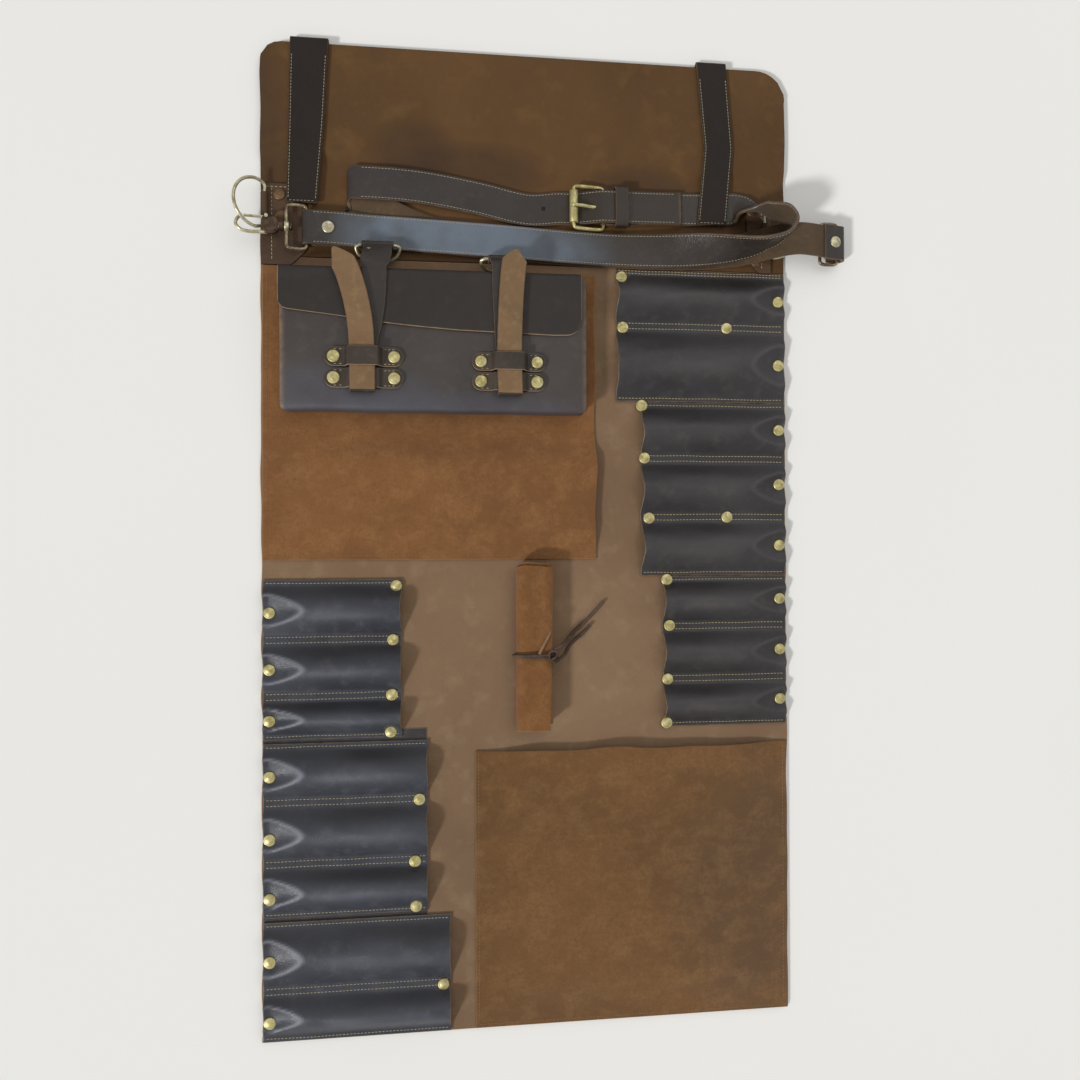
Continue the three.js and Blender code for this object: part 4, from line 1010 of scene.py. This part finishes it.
def side_tab(name, side):
    """A tab sewn to the panel's edge, narrowed by a slanted cut towards its inner end."""
    low, high = corners(f"tab_{name}")
    edge = side * min(HALF, abs(low[0] if side < 0 else high[0]))
    reach = high[0] if side < 0 else low[0]
    xs = ticks(min(edge, reach), max(edge, reach), 16)
    ys = ticks(low[1], high[1], 24)
    grid = flat_sheet(xs, ys, lambda x, y: x * 0 + ON_PANEL + TAB_THICK / 2)
    inner = np.clip((grid[:, :, 0] - edge) / (reach - edge), 0, 1)
    cut = 12 * np.clip((inner - (1 - 12 / abs(reach - edge))) * abs(reach - edge) / 12, 0, 1)
    share = np.clip((high[1] - grid[:, :, 1]) / (high[1] - low[1]), 0, 1)
    grid[:, :, 1] += cut * share
    place(slab(f"side_tab_{name}", grid, TAB_THICK, TAB), "panel", "umber_leather", f"tab_{name}")
    x_in, y_top = edge - side * 9.5, high[1] - 3.4
    rows = [stitch_row((x_in, high[1] - 4), (x_in, low[1] + 4), ON_TAB, 20),
            stitch_row((edge - side * 4, y_top), (reach + side * 4, y_top), ON_TAB, 12)]
    place(stitch_mesh(f"tab_{name}_stitches", rows), "panel", "umber_leather")


RING_WIRE = 1.45
RINGS = {"left": ((-236.5, 295.5, 6.7), 40, -1), "right": ((220, 286, 6.7), 4, 1)}
for name, (centre, tilt, side) in RINGS.items():
    side_tab(name, side)
    place(tube(f"side_ring_{name}", ring_line(centre, tilt, side), RING_WIRE, NICKEL_BRASS, True),
          f"ring_{name}", "brass", f"d_ring_{name}")
    sleeve = turn_rows((centre[0], centre[2]), 2.6, -100, 280, 30, centre[1] - 11, centre[1] + 11, 6)
    place(slab(f"ring_sleeve_{name}", sleeve, 1.3, TAB), "panel", "umber_leather")
tab_places = [(x, y, ON_TAB + 0.05) for x, y in ((-224, 306), (-223, 286.5), (208.5, 309), (212, 262))]
place(rivets("tab_rivets", tab_places, look=COPPER), "panel", "brass")


# ---------- snap hooks ----------
EYE_WIRE, ARM_WIRE = 1.55, 1.4


def hook_frame(centre, tilt, roll):
    """Turns a hook's own frame, with its nose along +X, into the CAD frame."""
    turn = (Matrix.Rotation(math.pi, 4, "Z") @ Matrix.Rotation(-math.radians(tilt), 4, "Y")
            @ Matrix.Rotation(math.radians(roll), 4, "X"))
    return Matrix.Translation(centre) @ turn


TURNED_SIDES = 24
TURNS = [2 * math.pi * k / TURNED_SIDES for k in range(TURNED_SIDES)]


def lathe(profile):
    """Points and faces of a shape turned about its own X axis, from (x, radius) pairs."""
    points = [(x, radius * math.cos(turn), radius * math.sin(turn))
              for x, radius in profile for turn in TURNS]
    return points, ring_faces(0, len(profile), TURNED_SIDES)


def snap_hook(name, centre, tilt, roll):
    """The squared eye on its strap with its round boss, and the hook, which turns in the boss."""
    eye_place, hook_place = hook_frame(centre, tilt, 0), hook_frame(centre, tilt, roll)
    quarter = [(17, 15.5), (16, 18), (13.5, 19), (3.5, 19), (1, 18), (0, 15.5)]
    outline = quarter + [(0, 0)] + [(x, -y) for x, y in quarter[::-1]] + [(17, 0)]
    line = moved(eye_place, closed_curve([(x, y, 0, 0) for x, y in outline], 7))
    place(tube(f"hook_frame_{name}", line, EYE_WIRE, HOOK_METAL, True), "panel", "brass", f"hook_eye_{name}")
    boss, boss_faces = lathe([(14.8, 2.4), (15, 4.2), (15.6, 4.6), (18.4, 4.6), (19, 4.2), (19.2, 2.4)])
    place(mesh_piece(f"hook_boss_{name}", moved(eye_place, boss), boss_faces, [NICKEL_BRASS]),
          "panel", "brass")

    points, faces = lathe([
        (12, 0.6), (12.2, 3), (12.8, 3.6), (14.2, 3.6), (14.6, 1.9), (19.4, 1.9), (19.6, 3.9), (20.2, 4.5),
        (20.9, 3.9), (21.5, 4.5), (22.2, 3.9), (22.9, 4.6), (24, 4.4)])
    stations = [(23.6, 4.3, 3.2), (25, 6.4, 3.0), (27, 8.0, 2.9), (33, 8.2, 2.9), (36, 7.9, 2.6),
                (37.4, 6.9, 2.0), (37.9, 5.8, 1.2)]  # along the body, half its width, half its height
    start = len(points)
    for x, wide, tall in stations:
        points += [(x, wide * bulge(math.cos(turn), 0.6), tall * bulge(math.sin(turn), 0.7))
                   for turn in TURNS]
    faces += ring_faces(start, len(stations), TURNED_SIDES)
    body = mesh_piece(f"hook_body_{name}", moved(hook_place, points), faces, [BRONZE])
    place(body, f"hook_{name}", "brass", f"snap_hook_{name}")
    arm = curve([(33, 6.7, 0), (41, 6.9, 0), (50, 7.0, 0), (56, 5.3, 0), (59.3, 1.4, 0), (58.4, -3, 0),
                 (55.5, -5.8, 0), (53.6, -6.4, 0)], 60)[:, :3]
    place(tube(f"hook_arm_{name}", moved(hook_place, arm), ARM_WIRE, NICKEL_BRASS,
               taper=lambda t: 1.1 - 0.15 * t), f"hook_{name}", "brass")


snap_hook("left", LEFT_EYE, 7.6, 0)
snap_hook("right", RIGHT_EYE, 0, 35)


# ---------- roller buckle ----------
ROLLER = (38, 9.4)  # x and z
buckle_side = [(66, 15.6), (65, 18.2), (62, 19), (42, 19), (39, 18.2), (38, 15.6)]
buckle_outline = buckle_side + [(38, 0)] + [(x, -y) for x, y in buckle_side[::-1]] + [(66, 0)]
buckle_line = closed_curve([(x, BUCKLE_Y + y, ROLLER[1] - 3.5 * (x - 38) / 28, 0)
                            for x, y in buckle_outline], 7)
place(tube("buckle_wire", buckle_line, 1.6, BRASS, True), "panel", "brass", "buckle_frame")
points, faces = lathe([(-14.6, 1.9), (-14.6, 3.6), (-14.2, 3.9), (14.2, 3.9), (14.6, 3.6), (14.6, 1.9)])
points = [(ROLLER[0] + y, BUCKLE_Y + x, ROLLER[1] + z) for x, y, z in points]
place(mesh_piece("buckle_roller_sleeve", points, [face[::-1] for face in faces], [BRASS]),
      "roller", "brass", "buckle_roller")
tongue = [(65.6, 3.5), (67.9, 4.4), (68.3, 6.6), (66.6, 8.3), (60, 9.6), (52, 11.4), (45, 13.4), (36, 14.4)]
tongue = curve([(x, BUCKLE_Y, z) for x, z in tongue], 60)[:, :3]
place(tube("buckle_tongue", tongue, 1.5, BRASS, flatten=0.9,
           taper=lambda t: 0.53 + 0.47 * float(smooth((t - 0.25) / 0.25))), "prong", "brass", "buckle_prong")


# ---------- pouch ----------
POUCH_LOW, POUCH_HIGH = corners("pouch_body")
POUCH_THICK = 1.6


def rounded_box(low, high, radius, counts, open_side=None):
    """A box whose edges are rounded by a radius, as a fine grid on each face. open_side is left out."""
    centre, half = (low + high) / 2, (high - low) / 2
    points, faces, found = [], [], {}
    for axis in range(3):
        for sign in (-1, 1):
            if open_side == (axis, sign):
                continue
            first, second = [(1, 2), (2, 0), (0, 1)][axis]
            us, vs = (np.sin(np.linspace(-1, 1, counts[k] + 1) * math.pi / 2) for k in (first, second))
            rows = []
            for u in us:
                row = []
                for v in vs:
                    spot = np.zeros(3)
                    spot[[axis, first, second]] = sign * half[axis], u * half[first], v * half[second]
                    core = np.clip(spot, radius - half, half - radius)
                    out = spot - core
                    spot = core + out / max(np.linalg.norm(out), 1e-9) * radius
                    key = tuple(np.round(spot, 4))
                    if key not in found:
                        found[key] = len(points)
                        points.append(spot + centre)
                    row.append(found[key])
                rows.append(row)
            for i in range(len(us) - 1):
                for j in range(len(vs) - 1):
                    face = [rows[i][j], rows[i + 1][j], rows[i + 1][j + 1], rows[i][j + 1]]
                    face = list(dict.fromkeys(face if sign > 0 else face[::-1]))
                    if len(face) > 2:
                        faces.append(face)
    return np.array(points), faces


def pouch_shape():
    """The pouch's shell: its sides fold inwards, and its front and lower corners go soft."""
    points, faces = rounded_box(POUCH_LOW + 0.2, POUCH_HIGH - 0.2, 5.0, (60, 34, 14), (1, 1))
    centre, half = (POUCH_LOW + POUCH_HIGH) / 2, (POUCH_HIGH - POUCH_LOW) / 2
    local = (points - centre) / half
    tuck = np.clip(1 - (local[:, 2] / 0.75) ** 2, 0, 1) * smooth((np.abs(local[:, 0]) - 0.93) / 0.07)
    points[:, 0] -= np.sign(local[:, 0]) * 5.5 * tuck * smooth((1 - local[:, 1]) / 0.3)
    front = np.clip(local[:, 2], 0, 1)
    sag = rough(points[:, 0], points[:, 1], 60, 12.0) * 0.7 + rough(points[:, 0], points[:, 1], 22, 4.0) * 0.3
    edge_dip = 1.3 * smooth((np.abs(local[:, 0]) - 0.86) / 0.14) + 1.0 * smooth((-local[:, 1] - 0.8) / 0.2)
    points[:, 2] += front * (sag - 0.5 - edge_dip)
    wave = rough(points[:, 0], points[:, 0] * 0, 70, 6.0)
    points[:, 1] += 1.3 * wave * smooth((-local[:, 1] - 0.6) / 0.4)
    wear = smooth((np.abs(local[:, 0]) - 0.955) / 0.03) * (local[:, 2] > -0.2) * 0.8
    return mesh_piece("pouch_shell", points, faces, [POUCH], None, wear)


pouch = pouch_shape()
thicken = pouch.modifiers.new("thickness", "SOLIDIFY")
thicken.thickness = POUCH_THICK * MM
thicken.offset = -1
place(pouch, "pouch", "dark_leather", "pouch_body")

FRONT = corner("pouch_flap", 1)[2]
LEATHER = 1.5
FLAP_EDGE = [(-222, 207), (-220.5, 202), (-217, 199.6), (-212, 198.8), (-173, 194.5), (-131, 189),
             (-100, 186.3), (-69, 184.2), (17, 181.6), (31, 182), (37, 184.5), (40, 189), (42, 197)]


def flap_edge(x):
    return np.interp(x, [p[0] for p in FLAP_EDGE], [p[1] for p in FLAP_EDGE])


def front_height(x, y):
    """The middle of the pouch flap over the pouch's front."""
    lift = 0.25 * rough(x, y, 50, 3.0) + 0.3 * smooth((flap_edge(x) + 12 - y) / 12) * rough(x, y, 30, 1.0)
    return FRONT - LEATHER / 2 + np.clip(lift, -0.2, 0.25)


flap_x = ticks(-222, 42, 90)
flap_rows = []
FLAP_BEND = 4.2
back_y = corner("pouch_flap", 1)[1] - LEATHER / 2
for z in ticks(POUCH_LOW[2] + 0.5, FRONT - 5, 8):
    flap_rows.append([(x, back_y, z) for x in flap_x])
for angle in np.radians(np.linspace(15, 80, 7)):
    y = back_y - FLAP_BEND + FLAP_BEND * math.cos(angle)
    z = FRONT - LEATHER / 2 - FLAP_BEND + FLAP_BEND * math.sin(angle)
    flap_rows.append([(x, y, z) for x in flap_x])
for share in ticks(0, 1, 26, 0.02):
    line = back_y - 5 + (flap_edge(flap_x) - back_y + 5) * share
    flap_rows.append(list(zip(flap_x, line, front_height(flap_x, line))))
pouch_flap = slab("pouch_flap_leather", np.array(flap_rows), LEATHER, POUCH_FLAP, FLESH, TAUPE)
place(pouch_flap, "pouch", "dark_leather", "pouch_flap")


def pouch_strap(side, hanger, run, tail, tip):
    """A strap sewn round its hanger ring, down over the pouch, back up over itself and loose at its tip."""
    x, y, z, width = hanger
    over = FRONT + GAP + LEATHER / 2
    tail_z = over + LEATHER + 2.1
    start = z + 3.2
    path = [(x, y, start), (x, (y + 241) / 2, (start + over) / 2 + 1.8), (run[0][0], 240.5, over + 0.5),
            (run[0][0], 235, over)] + [(px, py, over) for px, py in run]
    dark = ribbon(path, width - 3, 70, lambda t: 1 - 0.16 * float(smooth((t - 0.2) / 0.15)), 5)
    place(slab(f"pouch_strap_{side}_leather", dark, LEATHER, STRAP, FLESH), "pouch", "strap_leather",
          f"pouch_strap_{side}")
    sleeve = turn_rows((0, 0), 3.2, -100, 250, 24, x - width / 2, x + width / 2, 6)
    sleeve = np.stack([sleeve[:, :, 1], y + sleeve[:, :, 0], z + sleeve[:, :, 2]], 2)[::-1]
    place(slab(f"pouch_sleeve_{side}", sleeve, 1.5, STRAP), "pouch", "strap_leather")
    turn_x, turn_y = tail[0][0], tail[0][1] - 1
    path = [(turn_x, turn_y, tail_z - 0.3)] + [(px, py, tail_z + lift) for px, py, lift in tail]
    loose = ribbon(path, 22, 80, lambda t: min(1, (1 - t) / tip + 0.03) ** 0.85, 5)
    place(slab(f"pouch_tail_{side}", loose, LEATHER, FLESH, STRAP), "pouch", "strap_leather")
    bight = turn_rows((0, 0), (tail_z - over) / 2, 100, 260, 11, -11, 11, 5)
    bight = np.stack([turn_x + bight[:, :, 1], turn_y + bight[:, :, 0],
                      (over + tail_z) / 2 + bight[:, :, 2]], 2)
    place(slab(f"pouch_bight_{side}", bight[::-1], LEATHER, STRAP), "pouch", "strap_leather")


LEFT_HANGER = (-138, 261, 13.4, 28)  # x, y and z, and how wide its strap is there
RIGHT_HANGER = (-28, 250, 20.5, 26)
HANGER_HALF = 19  # half a hanger ring's width
pouch_strap("left", LEFT_HANGER, [(-140, 229), (-142.5, 197), (-147.2, 174), (-150, 158), (-150.3, 131.5)],
            [(-150.3, 131.5, 0), (-150.4, 160, 0), (-152.2, 189, 0), (-157, 214, 0.2), (-164.5, 236, 0.8),
             (-175, 252, 0.2)], 0.14)
pouch_strap("right", RIGHT_HANGER, [(-28.3, 226), (-26.5, 182), (-22.5, 130.5)],
            [(-22.5, 130.5, 0), (-23.2, 165, 0), (-21.6, 212, 0.2), (-19.5, 238, 0.6), (-17, 256, 0.2)], 0.12)
for side, (x, y, z, width), lean in (("left", LEFT_HANGER, 29), ("right", RIGHT_HANGER, 52)):
    lean = math.radians(lean)
    flat = [(HANGER_HALF * part, 0) for part in (-0.85, -0.4, 0, 0.4, 0.85)]
    flat += [(HANGER_HALF * math.cos(a), -1.5 - 13 * math.sin(a) ** 0.8) for a in np.linspace(0, math.pi, 11)]
    line = closed_curve([(x + u, y + v * math.cos(lean), z + v * math.sin(lean), 0) for u, v in flat], 7)
    place(tube(f"pouch_ring_{side}_wire", line, 1.5, NICKEL_BRASS, True), f"pouch_ring_{side}", "brass",
          f"pouch_ring_{side}")
place(rivets("pouch_hanger_rivets", [(-145.2, 253, 22.6, 0, 0.45, 1), (-131.2, 252.5, 22.6, 0, 0.45, 1),
                                     (-34.6, 245.4, 26.2, 0, 0.45, 1)], 3.4, 1.4), "pouch", "brass")

BANDS = {"left_upper": (150.8, 167.6, -149.5), "left_lower": (132.2, 149.2, -149.5),
         "right_upper": (149.3, 165.2, -23), "right_lower": (131.8, 147.8, -23)}
band_rivets = []
for name, (low, high, middle_x) in BANDS.items():
    left, right = corners(f"keeper_band_{name}")
    base, crown = left[2] + LEATHER / 2, right[2] - LEATHER / 2
    xs = ticks(left[0], right[0], 60, 0.3)
    radius = (high - low) / 2
    rows = []
    for x in xs:
        from_end = min(x - left[0], right[0] - x)
        wide = radius * math.sqrt(max(1 - max(radius - from_end, 0) ** 2 / radius**2, 0.01))
        z = base + (crown - base) * float(smooth((16.5 - abs(x - middle_x)) / 4.6))
        rows.append([(x, (low + high) / 2 + k, z) for k in ticks(-wide, wide, 6, min(0.8, wide * 0.2))])
    place(slab(f"keeper_{name}", rows, LEATHER, BAND, FLESH, TAUPE), "pouch", "strap_leather",
          f"keeper_band_{name}")
    y, top = (low + high) / 2, left[2] + LEATHER
    band_rivets += [(left[0] + 8, y, top + 0.05), (right[0] - 8, y, top + 0.05)]
    lines = [stitch_row((x0, y + inset), (x1, y + inset), top, 12)
             for inset in (2 - radius, radius - 2)
             for x0, x1 in ((left[0] + 7, middle_x - 17), (middle_x + 17, right[0] - 7))]
    place(stitch_mesh(f"keeper_{name}_stitches", lines, 2.2, 3.4, 0.3), "pouch", "strap_leather")
place(rivets("keeper_rivets", band_rivets), "pouch", "brass",
      *[f"keeper_rivet_{name}_{end}" for name in BANDS for end in "ab"])


# ---------- rolled tool wrap ----------
WRAP_LOW, WRAP_HIGH = corners("tool_wrap")
wrap_centre, wrap_half = (WRAP_LOW + WRAP_HIGH) / 2, (WRAP_HIGH - WRAP_LOW) / 2


def wrap_sheet():
    """Suede rolled three times round itself and pressed a little flat, as rows of points from its inner
    edge to its free one, which crosses the right of the roll. The layers' ends don't quite meet."""
    turns, steps = 3.1, 210
    rows = []
    length = 0.0
    for k in range(steps):
        t = k / (steps - 1)
        size = 0.24 + 0.74 * t
        turn = 0.75 + 2 * math.pi * turns * (1 - t)
        outside = float(smooth((t - 0.72) / 0.1))
        low = WRAP_LOW[1] + 1.0 + 6.5 * (1 - outside) + 0.8 * math.sin(turn * 0.7 + 1)
        high = WRAP_HIGH[1] - 1.0 - 3.2 * outside - 1.6 * math.sin(turn * 1.5) ** 2
        spots = []
        for y in ticks(low, high, 34):
            along = (WRAP_HIGH[1] - y) / (WRAP_HIGH - WRAP_LOW)[1]
            angle = turn + 0.3 * (along - 0.5) * t ** 3
            x = bulge(math.cos(angle), 0.75) * (wrap_half[0] - 0.8) * size ** 0.7
            z = bulge(math.sin(angle), 0.8) * (wrap_half[2] - 0.9) * size
            lift = 0.7 * float(smooth((t - 0.965) / 0.035))
            waist = 0.9 * math.exp(-((y + 103) / 7) ** 2) * (z > 0) * t
            spots.append((wrap_centre[0] + x, y, wrap_centre[2] - 0.3 + z + lift - waist))
        if rows:
            length += math.dist(spots[5], rows[-1][5])
        rows.append(spots)
    return np.array(rows), length


wrap_rows, wrap_length = wrap_sheet()
wrap = slab("wrap_suede_roll", wrap_rows, 1.5, WRAP)
place(wrap, "wrap", "suede", "tool_wrap")


LACE_RADIUS = 1.5


def lace_turn(name, y_start, drift, lift):
    """One turn of lace round the roll, moving along it by drift and held off it by lift."""
    line = []
    for angle in np.linspace(-0.1, 2 * math.pi - 0.1, 60):
        x = bulge(math.cos(angle), 0.8) * (wrap_half[0] + lift)
        z = bulge(math.sin(angle), 0.8) * (wrap_half[2] + lift)
        z = max(z, -wrap_half[2] + 0.4)
        line.append((wrap_centre[0] + x, y_start + drift * angle / 6.3, wrap_centre[2] + z))
    place(tube(name, line, LACE_RADIUS, LACE, flatten=0.8, sides=8), "wrap", "lace_leather")


lace_turn("lace_turn_one", -105, 3.5, 0.3)
lace_turn("lace_turn_two", -101.5, -3.0, 0.9)
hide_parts("wrap_lace")
knot = closed_curve([(12.5, -106, 24, 0), (17, -104, 26.2, 0), (19.5, -100, 24.6, 0), (15, -98, 25.6, 0),
                     (12, -101, 23.6, 0)], 8)
place(tube("lace_knot", knot, LACE_RADIUS, LACE, True, sides=8, flatten=0.8), "wrap", "lace_leather")
pale_end = curve([(3, -101, 24.6), (6, -95, 25), (10, -88, 24.2), (13.5, -81, 24)], 30)[:, :3]
place(tube("lace_pale_end", pale_end, 1.3, FLESH, sides=8, flatten=0.7,
           taper=lambda t: 1 - 0.5 * float(smooth((t - 0.8) / 0.2))), "wrap", "lace_leather")


def lace_tail(name, points, node):
    """A loose end of the lace, as a round cord."""
    data = bpy.data.curves.new(name, "CURVE")
    data.dimensions = "3D"
    data.bevel_depth = 1.6 * MM
    data.bevel_resolution = 3
    data.use_fill_caps = True
    spline = data.splines.new("POLY")
    line = curve(points, 34)[:, :3] * MM
    spline.points.add(len(line) - 1)
    for point, spot in zip(spline.points, line):
        point.co = (*spot, 1)
    data.materials.append(LACE)
    tail = add_object(name, data)
    place(tail, "wrap", "lace_leather", node)


lace_tail("lace_tail_long", [(16, -97, 25.5), (24.5, -93, 22), (31, -89, 11), (37.5, -83, 5.2),
                             (46, -76, 4.5), (55, -67, 4.4), (65, -56, 4.4)], "lace_tail_upper")
lace_tail("lace_tail_short", [(16, -108.8, 25.5), (25.5, -103, 20), (33, -95, 8.5), (40.5, -89, 4.6),
                              (46.5, -84, 4.4), (53, -77, 4.4)], "lace_tail_lower")


# ---------- metal kept from the frame ----------
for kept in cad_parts.values():
    if kept.hide_render:
        continue
    kept.data.materials.clear()
    kept.data.materials.append(NICKEL_BRASS)
    kept.data.polygons.foreach_set("use_smooth", [True] * len(kept.data.polygons))
    kept.data.set_sharp_from_angle(angle=math.radians(35))


# ---------- stage and light ----------
def build_stage():
    look = Look("pale_floor")
    look.surface(Base_Color=look.mix(look.noise(3, 2), linear(232, 231, 227), linear(234, 233, 229)),
                 Roughness=1.0, Specular_IOR_Level=0.1)
    mesh = bpy.data.meshes.new("floor")
    size = 6.0
    outline = [(-size, -size, 0), (size, -size, 0), (size, size, 0), (-size, size, 0)]
    mesh.from_pydata(outline, [], [(0, 1, 2, 3)])
    mesh.materials.append(look.material)
    floor = add_object("floor", mesh)
    floor.location.z = -0.0004  # clear of the panel's underside
    floor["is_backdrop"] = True


def build_light(name, place_at, spread, strength):
    """A soft light so far off that it is even over the whole roll, coming from place_at."""
    data = bpy.data.lights.new(name, "SUN")
    data.angle = math.radians(spread)
    data.energy = strength
    light = add_object(name, data)
    light.location = place_at
    light.rotation_mode = "QUATERNION"
    light.rotation_quaternion = (-Vector(place_at)).to_track_quat("-Z", "Y")


build_stage()
build_light("key", (-2.88, -2.38, 2.5), 7.0, 2.05)
build_light("fill", (1.6, 2.2, 3.6), 60.0, 0.58)
world = bpy.data.worlds.new("world")
world.use_nodes = True
background = world.node_tree.nodes["Background"].inputs
background["Color"].default_value = (1, 1, 1, 1)
background["Strength"].default_value = 0.485
bpy.context.scene.world = world
bpy.context.scene.view_settings.view_transform = "Standard"

low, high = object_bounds()
